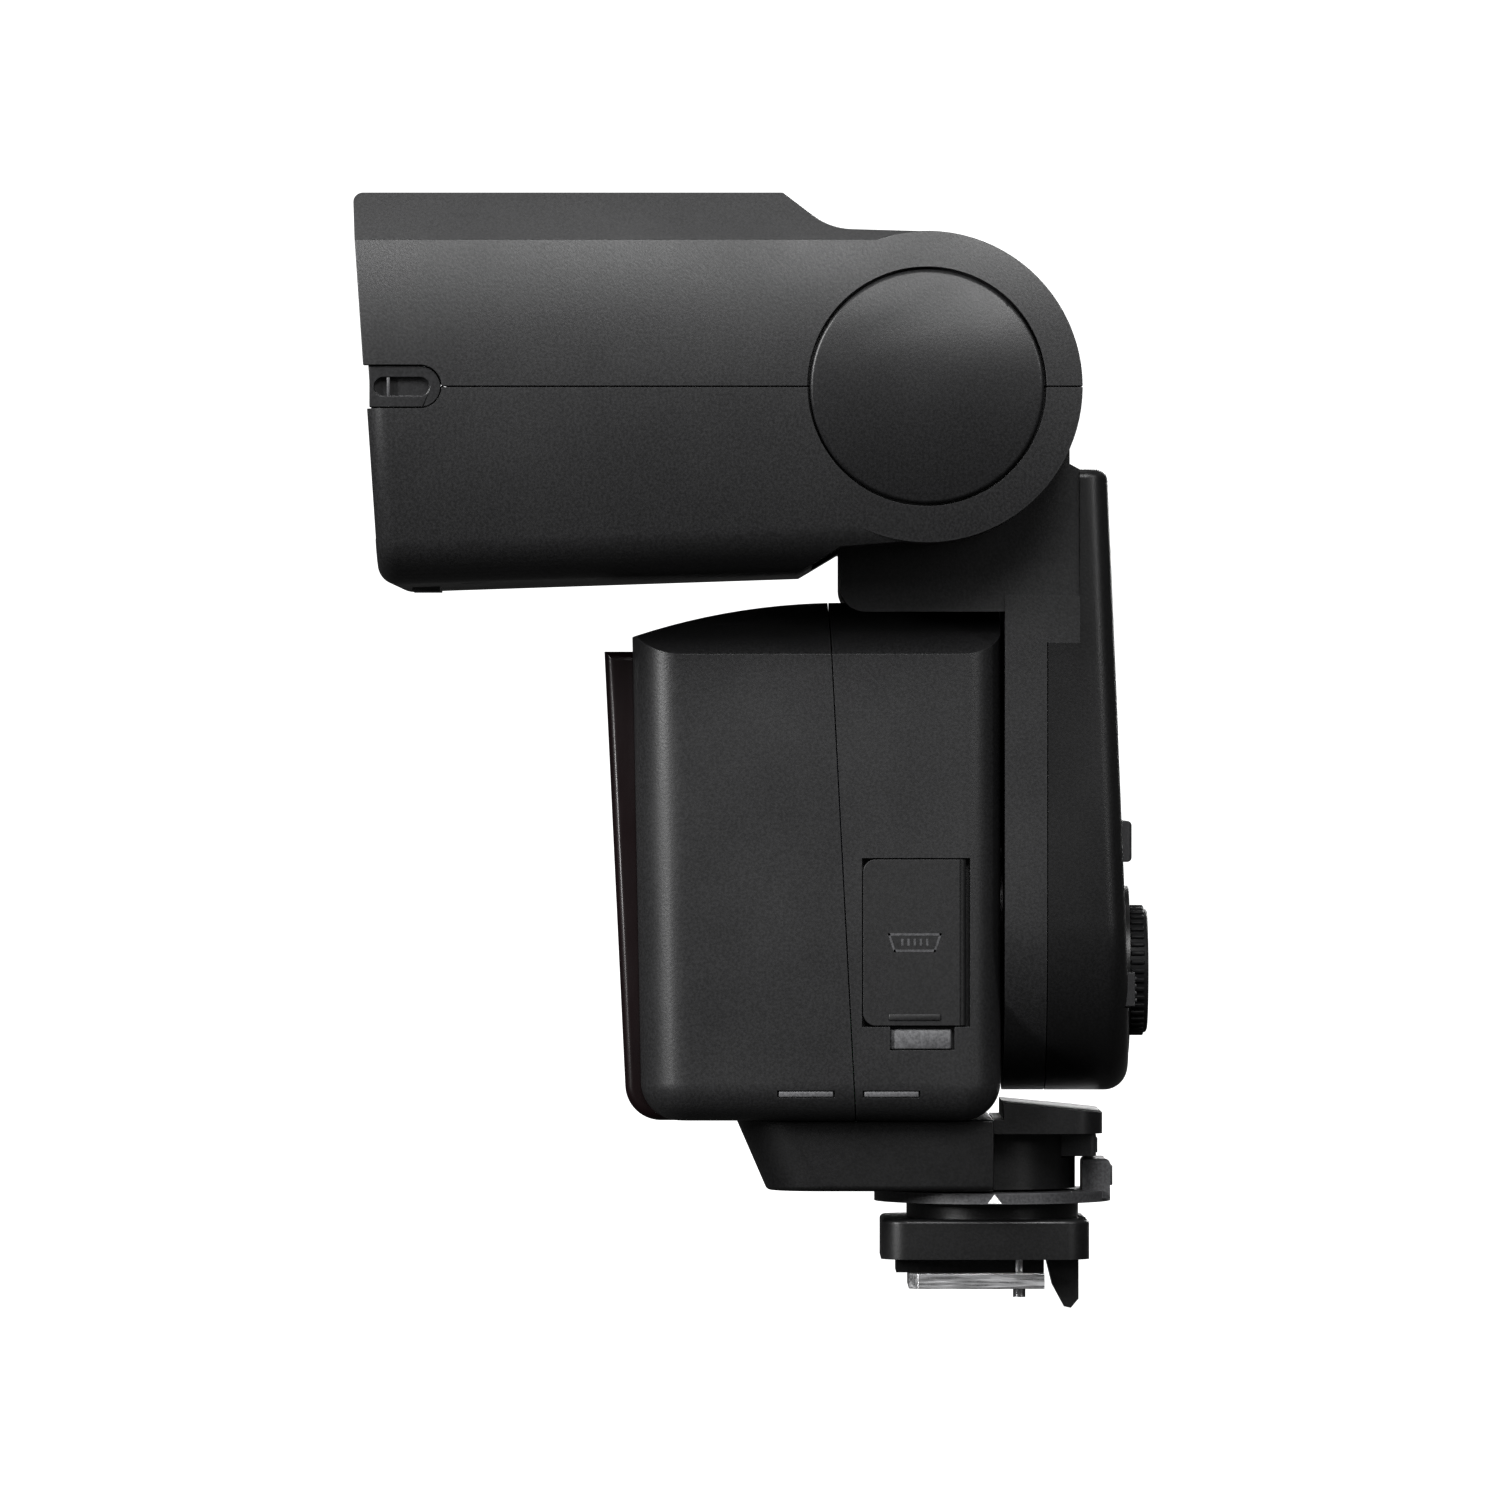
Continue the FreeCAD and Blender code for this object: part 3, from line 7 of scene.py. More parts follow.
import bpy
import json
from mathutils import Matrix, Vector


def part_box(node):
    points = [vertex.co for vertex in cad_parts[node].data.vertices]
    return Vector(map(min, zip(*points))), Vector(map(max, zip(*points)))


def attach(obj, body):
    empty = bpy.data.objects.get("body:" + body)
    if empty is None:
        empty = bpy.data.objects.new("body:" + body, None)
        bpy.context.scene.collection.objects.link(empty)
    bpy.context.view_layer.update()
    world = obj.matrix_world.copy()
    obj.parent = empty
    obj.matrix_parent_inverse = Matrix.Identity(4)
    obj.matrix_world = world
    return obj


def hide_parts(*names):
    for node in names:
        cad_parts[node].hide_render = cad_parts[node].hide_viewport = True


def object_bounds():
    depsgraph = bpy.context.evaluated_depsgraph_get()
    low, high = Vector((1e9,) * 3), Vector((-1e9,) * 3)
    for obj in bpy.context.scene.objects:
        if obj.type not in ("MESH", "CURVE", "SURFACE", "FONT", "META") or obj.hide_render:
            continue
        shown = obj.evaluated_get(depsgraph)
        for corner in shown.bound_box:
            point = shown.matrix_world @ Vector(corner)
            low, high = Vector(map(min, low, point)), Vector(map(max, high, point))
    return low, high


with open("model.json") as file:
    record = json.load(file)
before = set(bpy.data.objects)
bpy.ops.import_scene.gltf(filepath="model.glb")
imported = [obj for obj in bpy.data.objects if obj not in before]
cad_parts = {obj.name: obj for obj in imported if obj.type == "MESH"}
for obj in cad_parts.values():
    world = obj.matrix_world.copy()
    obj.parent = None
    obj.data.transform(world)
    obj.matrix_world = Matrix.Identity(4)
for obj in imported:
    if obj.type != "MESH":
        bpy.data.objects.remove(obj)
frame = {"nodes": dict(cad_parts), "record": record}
cad_box = [list(corner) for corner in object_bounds()]
print("frame box", cad_box)

# %% [markdown]
# ## Helpers
# Every later step asks the frame for a part's box, hands a finished piece back to it, and turns a
# modelled shape into a plain mesh. Writing these once keeps the steps short, and a piece always takes
# its place and size from the part it dresses, so nothing has to be measured twice.

# %% Helpers that every later step uses
import json
import math

import bmesh
import bpy
from mathutils import Matrix, Vector

MM = 0.001
nodes = frame["nodes"]
slot_of = {row["node"]: row["material_slot"] for row in frame["record"]["subparts"]}
body_of_node = {node: body for body, names in frame["record"]["behaviour"]["bodies"].items() for node in names}


def corners(node):
    """Lowest and highest corner of a node, as vectors."""
    low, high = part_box(node)
    return Vector(low), Vector(high)


def link(obj):
    bpy.context.scene.collection.objects.link(obj)
    return obj


def bake_modifiers(obj):
    """Turns an object and its modifiers into a plain mesh."""
    graph = bpy.context.evaluated_depsgraph_get()
    mesh = bpy.data.meshes.new_from_object(obj.evaluated_get(graph))
    obj.modifiers.clear()
    obj.data = mesh
    return obj


def add_piece(obj, node):
    """Hands a finished piece to the frame in place of a node."""
    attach(obj, body_of_node[node])
    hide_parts(node)
    return obj


# %% [markdown]
# ## Moulded black plastic
# The case of a flash is glass-filled polycarbonate from a spark-eroded mould. Up close it is a field of
# tiny pits, a third of a millimetre apart, and it is slightly shinier where hands and bags rub its
# edges. A picture texture would need seams, so the grain here is 3-D noise in object space: it runs
# unbroken round every corner. A bevel lookup finds the edges for the wear, because the polished line
# follows the geometry itself. The edges are also painted lighter: partly real wear, partly a painted highlight.

# %% Moulded plastic material
GRAIN = 1 / 0.00034


def node_of(tree, kind, **values):
    node = tree.nodes.new(kind)
    for name, value in values.items():
        if hasattr(node, name):
            setattr(node, name, value)
        else:
            node.inputs[name].default_value = value
    return node


def noise(tree, scale, detail=3.0, roughness=0.55):
    where = node_of(tree, "ShaderNodeTexCoord")
    pattern = node_of(tree, "ShaderNodeTexNoise", Scale=scale, Detail=detail, Roughness=roughness)
    tree.links.new(where.outputs["Object"], pattern.inputs["Vector"])
    return pattern.outputs["Fac"]


def remap(tree, value, low, high, from_low=0.3, from_high=0.7):
    ramp = node_of(tree, "ShaderNodeMapRange")
    for name, number in zip(("From Min", "From Max", "To Min", "To Max"), (from_low, from_high, low, high)):
        ramp.inputs[name].default_value = number
    tree.links.new(value, ramp.inputs["Value"])
    return ramp.outputs["Result"]


def edge_mask(tree, radius):
    """1 on sharp edges and 0 on faces, from the angle between the bevelled and the true normal."""
    bevel = node_of(tree, "ShaderNodeBevel", samples=4)
    bevel.inputs["Radius"].default_value = radius
    true = node_of(tree, "ShaderNodeNewGeometry")
    dot = node_of(tree, "ShaderNodeVectorMath", operation="DOT_PRODUCT")
    tree.links.new(bevel.outputs["Normal"], dot.inputs[0])
    tree.links.new(true.outputs["Normal"], dot.inputs[1])
    return remap(tree, dot.outputs["Value"], 1.0, 0.0, 0.80, 0.995)


def blend_colour(tree, factor, first, second):
    mix = node_of(tree, "ShaderNodeMix", data_type="RGBA")
    mix.inputs["A"].default_value = (*first, 1)
    mix.inputs["B"].default_value = (*second, 1)
    tree.links.new(factor, mix.inputs["Factor"])
    return mix.outputs["Result"]


def product(tree, first, second):
    times = node_of(tree, "ShaderNodeMath", operation="MULTIPLY", use_clamp=True)
    tree.links.new(first, times.inputs[0])
    tree.links.new(second, times.inputs[1])
    return times.outputs["Value"]


def crowning(tree, level, bulge):
    """A face crowned about a height: flat walls are moulded slightly barrel-shaped, so light rolls off them."""
    where = node_of(tree, "ShaderNodeTexCoord")
    split = node_of(tree, "ShaderNodeSeparateXYZ")
    tree.links.new(where.outputs["Object"], split.inputs["Vector"])
    away = node_of(tree, "ShaderNodeMath", operation="SUBTRACT")
    away.inputs[1].default_value = level
    tree.links.new(split.outputs["Z"], away.inputs[0])
    square = node_of(tree, "ShaderNodeMath", operation="MULTIPLY")
    tree.links.new(away.outputs["Value"], square.inputs[0])
    tree.links.new(away.outputs["Value"], square.inputs[1])
    rise = node_of(tree, "ShaderNodeBump", Strength=1.0, Distance=bulge, invert=True)
    tree.links.new(square.outputs["Value"], rise.inputs["Height"])
    return rise.outputs["Normal"]


def moulded(name, tone, rough=0.46, grain=GRAIN, depth=0.00003, wear_and_highlight=0.5, spread=0.10, shine=0.32, crown=None):
    """Textured black moulding: pitted grain, cloudy gloss, rubbed edges painted lighter: partly real wear, partly a
    painted highlight.
    """
    material = bpy.data.materials.new(name)
    material.use_nodes = True
    tree = material.node_tree
    shader = tree.nodes["Principled BSDF"]
    shader.inputs["Specular IOR Level"].default_value = shine
    fine = noise(tree, grain, 2.0, 0.6)
    broad = noise(tree, 45.0, 3.0)
    dark = tuple(channel * 0.72 for channel in tone)
    light = tuple(channel * 1.35 for channel in tone)
    grainy = blend_colour(tree, remap(tree, fine, 0.0, 1.0, 0.35, 0.65), dark, light)
    # edges painted lighter and made glossier: partly real wear, partly a painted highlight line along every hard edge
    rubbed_edge_and_highlight = product(tree, edge_mask(tree, 0.0005), remap(tree, noise(tree, 260.0), 0.35, 1.0))
    edge_wear_and_highlight = node_of(tree, "ShaderNodeMix", data_type="RGBA", blend_type="MIX")
    tree.links.new(grainy, edge_wear_and_highlight.inputs["A"])
    edge_wear_and_highlight.inputs["B"].default_value = (*(min(1, channel * 2.1) for channel in tone), 1)
    strength = node_of(tree, "ShaderNodeMath", operation="MULTIPLY")
    strength.inputs[1].default_value = wear_and_highlight
    tree.links.new(rubbed_edge_and_highlight, strength.inputs[0])
    tree.links.new(strength.outputs["Value"], edge_wear_and_highlight.inputs["Factor"])
    tree.links.new(edge_wear_and_highlight.outputs["Result"], shader.inputs["Base Color"])
    cloudy = remap(tree, broad, rough - spread * 0.5, rough + spread * 0.5)
    gloss = node_of(tree, "ShaderNodeMath", operation="MULTIPLY_ADD")
    gloss.inputs[1].default_value = -0.12
    tree.links.new(strength.outputs["Value"], gloss.inputs[0])
    tree.links.new(cloudy, gloss.inputs[2])
    tree.links.new(gloss.outputs["Value"], shader.inputs["Roughness"])
    bump = node_of(tree, "ShaderNodeBump", Strength=0.55, Distance=depth)
    tree.links.new(fine, bump.inputs["Height"])
    if crown:
        tree.links.new(crowning(tree, *crown), bump.inputs["Normal"])
    tree.links.new(bump.outputs["Normal"], shader.inputs["Normal"])
    return material


head_level = corners("head_upper_shell")[0].z + 4 * MM
finishes = {
    "case": moulded("textured_black_case", (0.011, 0.011, 0.0114), rough=0.42),
    "cap": moulded("textured_black_cap", (0.010, 0.010, 0.0104), rough=0.42, crown=(head_level, 12.0)),
    "trim": moulded("satin_black_trim", (0.010, 0.010, 0.0105), rough=0.36, depth=0.00001),
    "inner": moulded("plain_black_moulding", (0.012, 0.012, 0.012), rough=0.5, depth=0.00001, wear_and_highlight=0.2),
    "cover": moulded("soft_black_cover", (0.008, 0.008, 0.0083), rough=0.52, depth=0.00002, wear_and_highlight=0.3, shine=0.26),
    "key": moulded("key_elastomer", (0.018, 0.018, 0.019), rough=0.52, grain=GRAIN * 1.6, depth=0.00001),
    "dial": moulded("dial_satin_black", (0.006, 0.006, 0.0063), rough=0.50, depth=0.00001, wear_and_highlight=0.2, shine=0.10),
    "lever": moulded("lever_dark_grey", (0.035, 0.035, 0.0365), rough=0.40, depth=0.00001, wear_and_highlight=0.7),
    "silicone": moulded("white_silicone", (0.55, 0.54, 0.50), rough=0.55, depth=0.00001, wear_and_highlight=0.1),
    "card": moulded("white_card", (0.72, 0.72, 0.70), rough=0.45, depth=0.00001, wear_and_highlight=0.1),
}
# a darker copy of the case finish: painted shade on the rear panel, pedestal and foot parts, which sit in shade; on
# the swing shaft it is that part's own black
shaded_case_and_black_shaft = moulded("painted_shade_case_and_black_shaft", (0.0052, 0.0052, 0.0054), rough=0.38, shine=0.28)
crowned = moulded("crowned_black_case", (0.013, 0.013, 0.0134), rough=0.42, crown=(head_level, 8.0))
variants = {"panel_rear_shell": shaded_case_and_black_shaft, "pedestal": shaded_case_and_black_shaft, "foot_rear_cover": shaded_case_and_black_shaft,
            "foot_block": shaded_case_and_black_shaft, "swing_shaft": shaded_case_and_black_shaft, "head_upper_shell": crowned, "head_lower_shell": crowned}
print("moulded finishes:", ", ".join(finishes))

# %% [markdown]
# ## Metals, filters and sleeves
# The shoe plate is stamped steel and slides in and out of cameras, so fine scratches run along its
# length: noise stretched along Y does that. The filters are acrylic, so they are given real
# transmission and a slight tint. Springs, boards and cells hide inside, but they are seen when the
# battery door opens, so they get their own finishes too.

# %% Metal and filter materials
def stretched_noise(tree, scale, stretch):
    where = node_of(tree, "ShaderNodeTexCoord")
    mapping = node_of(tree, "ShaderNodeMapping")
    mapping.inputs["Scale"].default_value = stretch
    pattern = node_of(tree, "ShaderNodeTexNoise", Scale=scale, Detail=4.0, Roughness=0.6)
    tree.links.new(where.outputs["Object"], mapping.inputs["Vector"])
    tree.links.new(mapping.outputs["Vector"], pattern.inputs["Vector"])
    return pattern.outputs["Fac"]


def metal(name, tone, rough=0.32, stretch=(1.0, 0.06, 1.0), scratch=0.000006):
    """Metal with scratches along one axis and cloudy gloss."""
    material = bpy.data.materials.new(name)
    material.use_nodes = True
    tree = material.node_tree
    shader = tree.nodes["Principled BSDF"]
    shader.inputs["Metallic"].default_value = 1.0
    lines = stretched_noise(tree, 2600.0, stretch)
    dull = tuple(channel * 0.70 for channel in tone)
    tree.links.new(blend_colour(tree, remap(tree, lines, 0.0, 1.0), dull, tone), shader.inputs["Base Color"])
    tree.links.new(remap(tree, lines, rough - 0.08, rough + 0.14), shader.inputs["Roughness"])
    bump = node_of(tree, "ShaderNodeBump", Strength=0.6, Distance=scratch)
    tree.links.new(lines, bump.inputs["Height"])
    tree.links.new(bump.outputs["Normal"], shader.inputs["Normal"])
    return material


def clear(name, tone, rough=0.06, transmission=1.0, ior=1.49, haze=0.08):
    """Transparent moulding: tinted, with a little haze that varies over the surface."""
    material = bpy.data.materials.new(name)
    material.use_nodes = True
    tree = material.node_tree
    shader = tree.nodes["Principled BSDF"]
    shader.inputs["Transmission Weight"].default_value = transmission
    shader.inputs["IOR"].default_value = ior
    cloud = noise(tree, 70.0)
    tree.links.new(remap(tree, cloud, rough, rough + haze), shader.inputs["Roughness"])
    tinted = tuple(channel * 0.9 for channel in tone)
    tree.links.new(blend_colour(tree, remap(tree, cloud, 0.0, 1.0), tinted, tone), shader.inputs["Base Color"])
    return material


finishes.update({
    "steel": metal("turned_steel", (0.56, 0.56, 0.57)),
    "motor": metal("plated_motor_can", (0.50, 0.50, 0.49), rough=0.28),
    "shoe": metal("stamped_shoe_steel", (0.68, 0.68, 0.69), rough=0.30),
    "mirror": metal("bright_reflector", (0.86, 0.86, 0.87), rough=0.14, stretch=(0.05, 1.0, 1.0)),
    "contact": metal("plated_contact", (0.83, 0.66, 0.36), rough=0.26),
    "screw": metal("black_oxide_screw", (0.07, 0.07, 0.075), rough=0.38, stretch=(1.0, 1.0, 1.0)),
    "lens": clear("clear_lens_acrylic", (0.96, 0.97, 0.98)),
    "diffuser": clear("frosted_diffuser", (0.90, 0.92, 0.93), rough=0.35, transmission=0.8),
    "tube": clear("quartz_tube", (0.95, 0.97, 0.95), rough=0.02),
})
print("metals and filters ready")


# %% [markdown]
# ## Gloss windows, boards and printed sleeves
# The front window is a filter so dark a red that it looks black until light catches it, and the
# display window is smoked acrylic over a liquid crystal panel. Both are polished, so what makes them
# read as real is faint wipe marks in the gloss, under a clear coat on the display window, rather than any colour.
# Circuit boards and cell sleeves follow the same recipe with a pattern under the gloss.

# %% Gloss materials
def glossy(name, tone, other, pattern_scale, rough=0.12, coat=0.6, stretch=(1.0, 1.0, 1.0), depth=0.000004, shine=0.5):
    """Polished surface: two tones in a soft pattern under a clear coat with wipe marks."""
    material = bpy.data.materials.new(name)
    material.use_nodes = True
    tree = material.node_tree
    shader = tree.nodes["Principled BSDF"]
    shader.inputs["Coat Weight"].default_value = coat
    shader.inputs["Specular IOR Level"].default_value = shine
    shader.inputs["Coat Roughness"].default_value = 0.05
    pattern = stretched_noise(tree, pattern_scale, stretch)
    tree.links.new(blend_colour(tree, remap(tree, pattern, 0.0, 1.0), tone, other), shader.inputs["Base Color"])
    wipes = stretched_noise(tree, 160.0, (1.0, 1.0, 0.2))
    tree.links.new(remap(tree, wipes, rough, rough + 0.14), shader.inputs["Roughness"])
    bump = node_of(tree, "ShaderNodeBump", Strength=0.5, Distance=depth)
    tree.links.new(pattern, bump.inputs["Height"])
    tree.links.new(bump.outputs["Normal"], shader.inputs["Normal"])
    return material


finishes.update({
    "red_window": glossy("deep_red_filter", (0.0036, 0.0016, 0.0019), (0.0048, 0.002, 0.0024), 90.0, rough=0.24, coat=0.0,
                         shine=0.22),
    "window": glossy("smoked_window", (0.012, 0.013, 0.015), (0.018, 0.019, 0.021), 60.0),
    "display": glossy("liquid_crystal", (0.30, 0.34, 0.28), (0.26, 0.30, 0.25), 400.0, rough=0.25, coat=0.2),
    "board": glossy("solder_resist", (0.012, 0.10, 0.035), (0.03, 0.16, 0.06), 900.0, rough=0.3, coat=0.3),
    "cell": glossy("cell_sleeve", (0.10, 0.11, 0.14), (0.13, 0.14, 0.17), 120.0, rough=0.18, coat=0.7),
    "capacitor": glossy("capacitor_sleeve", (0.02, 0.025, 0.06), (0.03, 0.035, 0.08), 200.0, rough=0.22, coat=0.5),
})
missing = {row["slot"] for row in frame["record"]["materials"]} - set(finishes)
print("slots without a finish:", missing)
for node, obj in nodes.items():
    obj.data.materials.clear()
    obj.data.materials.append(variants.get(node, finishes[slot_of[node]]))

# %% [markdown]
# ## From machine surfaces to moulded ones
# A moulded edge is never truly sharp: the tool leaves a tenth or two of a millimetre of radius, and
# that radius is what catches the light. The mechanical model keeps its edges sharp, so each visible
# shell is copied, its triangles are merged back into whole faces, and a small bevel is cut along
# every hard edge. Weighted normals then keep the flats flat, as a subdivided copy would not.

# %% Moulded copies of the visible shells
def moulded_copy(node, radius=0.22, segments=2, angle=28.0):
    """A node's mesh with merged faces and bevelled hard edges, as a new piece."""
    source = nodes[node]
    mesh = source.data.copy()
    mesh.name = node + "_moulded"
    form = bmesh.new()
    form.from_mesh(mesh)
    bmesh.ops.remove_doubles(form, verts=form.verts, dist=2e-6)
    bmesh.ops.dissolve_degenerate(form, edges=form.edges, dist=1e-6)
    bmesh.ops.dissolve_limit(form, angle_limit=math.radians(0.6), verts=form.verts, edges=form.edges)
    for face in form.faces:
        face.smooth = True
    for edge in form.edges:
        edge.smooth = len(edge.link_faces) == 2 and edge.calc_face_angle(0.0) < math.radians(angle)
    form.to_mesh(mesh)
    form.free()
    obj = link(bpy.data.objects.new(node + "_moulded", mesh))
    bevel = obj.modifiers.new("edge_radius", "BEVEL")
    bevel.width = radius * MM
    bevel.segments = segments
    bevel.limit_method = "ANGLE"
    bevel.angle_limit = math.radians(angle)
    bevel.use_clamp_overlap = True
    bevel.harden_normals = True
    return obj


SHELLS = {
    "head_upper_shell": 0.45, "head_lower_shell": 0.4, "pivot_cap_right": 0.12, "pivot_cap_left": 0.12,
    "accessory_socket_right": 0.12, "accessory_socket_left": 0.12, "lens_bezel": 0.25, "neck_shell": 0.22,
    "panel_rear_shell": 0.22, "block_front_shell": 0.45, "block_rear_shell": 0.45, "pedestal": 0.25,
    "foot_rear_cover": 0.22, "foot_block": 0.22, "shoe_plate": 0.18, "lock_lever": 0.18, "release_button": 0.1,
    "battery_door": 0.12, "door_latch": 0.15, "power_switch": 0.15, "front_window": 0.35, "terminal_cover": 0.15,
    "function_key": 0.15, "light_key": 0.15, "mode_key": 0.15, "test_key": 0.15, "dial_key": 0.3, "card_tray": 0.15,
    "reflector": 0.08, "terminal_socket": 0.15, "battery_cage": 0.15, "zoom_motor": 0.2, "spring_contact": 0.1,
}


for node, radius in SHELLS.items():
    piece = moulded_copy(node, radius)
    piece.data.materials.clear()
    piece.data.materials.append(variants.get(node, finishes[slot_of[node]]))
    bake_modifiers(piece)
    add_piece(piece, node)
    print(node, len(piece.data.polygons), "faces")

# %% [markdown]
# ## One recipe for everything that repeats
# Ribs on a knob, prisms in a lens and screws in a case are copies of one small shape. Three geometry
# trees place them: round a circle, along a line, and at the points of a mesh. Each has named inputs
# for its sizes, plus a seed for the hundredth or so by which real mouldings differ. Modelling each
# rib by hand would take longer and could never be re-spaced.

# %% Geometry trees for repeated detail
SEED = 7


def group_tree(name, inputs):
    tree = bpy.data.node_groups.new(name, "GeometryNodeTree")
    tree.interface.new_socket("Geometry", in_out="INPUT", socket_type="NodeSocketGeometry")
    sockets = {}
    for label, kind in inputs:
        sockets[label] = tree.interface.new_socket(label, in_out="INPUT", socket_type="NodeSocket" + kind).identifier
    tree.interface.new_socket("Geometry", in_out="OUTPUT", socket_type="NodeSocketGeometry")
    start = tree.nodes.new("NodeGroupInput")
    end = tree.nodes.new("NodeGroupOutput")
    return tree, start, end, sockets


def math_node(tree, operation, first, second):
    node = node_of(tree, "ShaderNodeMath", operation=operation)
    for socket, value in zip(node.inputs, (first, second)):
        if isinstance(value, (int, float)):
            socket.default_value = value
        else:
            tree.links.new(value, socket)
    return node.outputs["Value"]


def vector_of(tree, x=0.0, y=0.0, z=0.0):
    node = tree.nodes.new("ShaderNodeCombineXYZ")
    for socket, value in zip(node.inputs, (x, y, z)):
        if isinstance(value, (int, float)):
            socket.default_value = value
        else:
            tree.links.new(value, socket)
    return node.outputs["Vector"]


def place_copies(tree, start, end, points, rotation):
    """Instances the item at the points, real and with its finish."""
    item = tree.nodes.new("GeometryNodeObjectInfo")
    tree.links.new(start.outputs["Item"], item.inputs["Object"])
    wobble = node_of(tree, "FunctionNodeRandomValue", data_type="FLOAT")
    wobble.inputs[2].default_value = 0.99
    wobble.inputs[3].default_value = 1.0
    tree.links.new(start.outputs["Seed"], wobble.inputs["Seed"])
    copies = tree.nodes.new("GeometryNodeInstanceOnPoints")
    tree.links.new(points, copies.inputs["Points"])
    tree.links.new(item.outputs["Geometry"], copies.inputs["Instance"])
    tree.links.new(rotation, copies.inputs["Rotation"])
    tree.links.new(wobble.outputs[1], copies.inputs["Scale"])
    turned = tree.nodes.new("GeometryNodeTransform")
    tree.links.new(copies.outputs["Instances"], turned.inputs["Geometry"])
    tree.links.new(start.outputs["Tilt"], turned.inputs["Rotation"])
    tree.links.new(start.outputs["Centre"], turned.inputs["Translation"])
    real = tree.nodes.new("GeometryNodeRealizeInstances")
    tree.links.new(turned.outputs["Geometry"], real.inputs["Geometry"])
    finish = tree.nodes.new("GeometryNodeSetMaterial")
    tree.links.new(real.outputs["Geometry"], finish.inputs["Geometry"])
    tree.links.new(start.outputs["Finish"], finish.inputs["Material"])
    tree.links.new(finish.outputs["Geometry"], end.inputs["Geometry"])


COMMON = [("Item", "Object"), ("Finish", "Material"), ("Seed", "Int"), ("Centre", "Vector"), ("Tilt", "Vector")]


def ring_tree():
    """Copies round a circle about Z, each turned to face outwards, then tilted and moved as a whole."""
    tree, start, end, sockets = group_tree("ring_of_copies", COMMON + [("Count", "Int"), ("Radius", "Float")])
    index = tree.nodes.new("GeometryNodeInputIndex").outputs["Index"]
    angle = math_node(tree, "DIVIDE", math_node(tree, "MULTIPLY", index, 2 * math.pi), start.outputs["Count"])
    across = math_node(tree, "MULTIPLY", math_node(tree, "COSINE", angle, 0.0), start.outputs["Radius"])
    up = math_node(tree, "MULTIPLY", math_node(tree, "SINE", angle, 0.0), start.outputs["Radius"])
    points = tree.nodes.new("GeometryNodePoints")
    tree.links.new(start.outputs["Count"], points.inputs["Count"])
    tree.links.new(vector_of(tree, across, up), points.inputs["Position"])
    place_copies(tree, start, end, points.outputs["Points"], vector_of(tree, z=angle))
    return tree, sockets


def row_tree():
    """Copies along a line, one step apart, centred on the middle of the row."""
    tree, start, end, sockets = group_tree("row_of_copies", COMMON + [("Count", "Int"), ("Step", "Vector")])
    index = tree.nodes.new("GeometryNodeInputIndex").outputs["Index"]
    half = math_node(tree, "MULTIPLY", math_node(tree, "SUBTRACT", start.outputs["Count"], 1.0), 0.5)
    along = math_node(tree, "SUBTRACT", index, half)
    place = node_of(tree, "ShaderNodeVectorMath", operation="SCALE")
    tree.links.new(start.outputs["Step"], place.inputs[0])
    tree.links.new(along, place.inputs["Scale"])
    points = tree.nodes.new("GeometryNodePoints")
    tree.links.new(start.outputs["Count"], points.inputs["Count"])
    tree.links.new(place.outputs["Vector"], points.inputs["Position"])
    place_copies(tree, start, end, points.outputs["Points"], vector_of(tree))
    return tree, sockets


def spots_tree():
    """Copies at the points of the object that carries the tree."""
    tree, start, end, sockets = group_tree("copies_at_points", COMMON)
    points = tree.nodes.new("GeometryNodeMeshToPoints")
    tree.links.new(start.outputs["Geometry"], points.inputs["Mesh"])
    place_copies(tree, start, end, points.outputs["Points"], vector_of(tree))
    return tree, sockets


TREES = {"ring": ring_tree(), "row": row_tree(), "spots": spots_tree()}


def repeat(name, kind, item, finish, spots=(), **sizes):
    """A plain mesh of copies of an item, placed by one of the trees."""
    tree, sockets = TREES[kind]
    carrier = bpy.data.meshes.new(name)
    carrier.from_pydata([tuple(spot) for spot in spots], [], [])
    obj = link(bpy.data.objects.new(name, carrier))
    modifier = obj.modifiers.new("copies", "NODES")
    modifier.node_group = tree
    sizes = {"Item": item, "Finish": finish, "Seed": SEED, "Centre": (0.0, 0.0, 0.0), "Tilt": (0.0, 0.0, 0.0), **sizes}
    for label, value in sizes.items():
        modifier[sockets[label]] = value
    mesh = bake_modifiers(obj).data
    mesh.materials.clear()
    mesh.materials.append(finish)
    for face in mesh.polygons:
        face.material_index = 0
    bpy.data.objects.remove(item)
    return obj


print("trees:", ", ".join(tree.name for tree, _ in TREES.values()))

# %% [markdown]
# ## Small shapes
# Keys, ribs, lips and rings are small mouldings or turned parts with softened edges. Each is built from
# its real sizes as a rounded box or a turned profile, which is how a tool would cut it, and then joined
# into one closed piece. Modelling them this way keeps edges clean and the triangle count low.

# %% Small shapes that get repeated or joined
def mesh_object(name, form, finish=None):
    bmesh.ops.recalc_face_normals(form, faces=form.faces)
    mesh = bpy.data.meshes.new(name)
    form.to_mesh(mesh)
    form.free()
    obj = link(bpy.data.objects.new(name, mesh))
    if finish:
        mesh.materials.append(finish)
    return obj


def soft_box(name, size, centre=(0, 0, 0), radius=0.1, finish=None, segments=2):
    """A box with rounded edges; sizes and radius in millimetres, centre in metres."""
    form = bmesh.new()
    bmesh.ops.create_cube(form, size=1.0)
    bmesh.ops.scale(form, vec=[length * MM for length in size], verts=form.verts)
    bmesh.ops.bevel(form, geom=form.edges[:], offset=radius * MM, segments=segments, profile=0.5, affect="EDGES",
                    clamp_overlap=True)
    bmesh.ops.translate(form, vec=centre, verts=form.verts)
    for face in form.faces:
        face.smooth = True
    return mesh_object(name, form, finish)


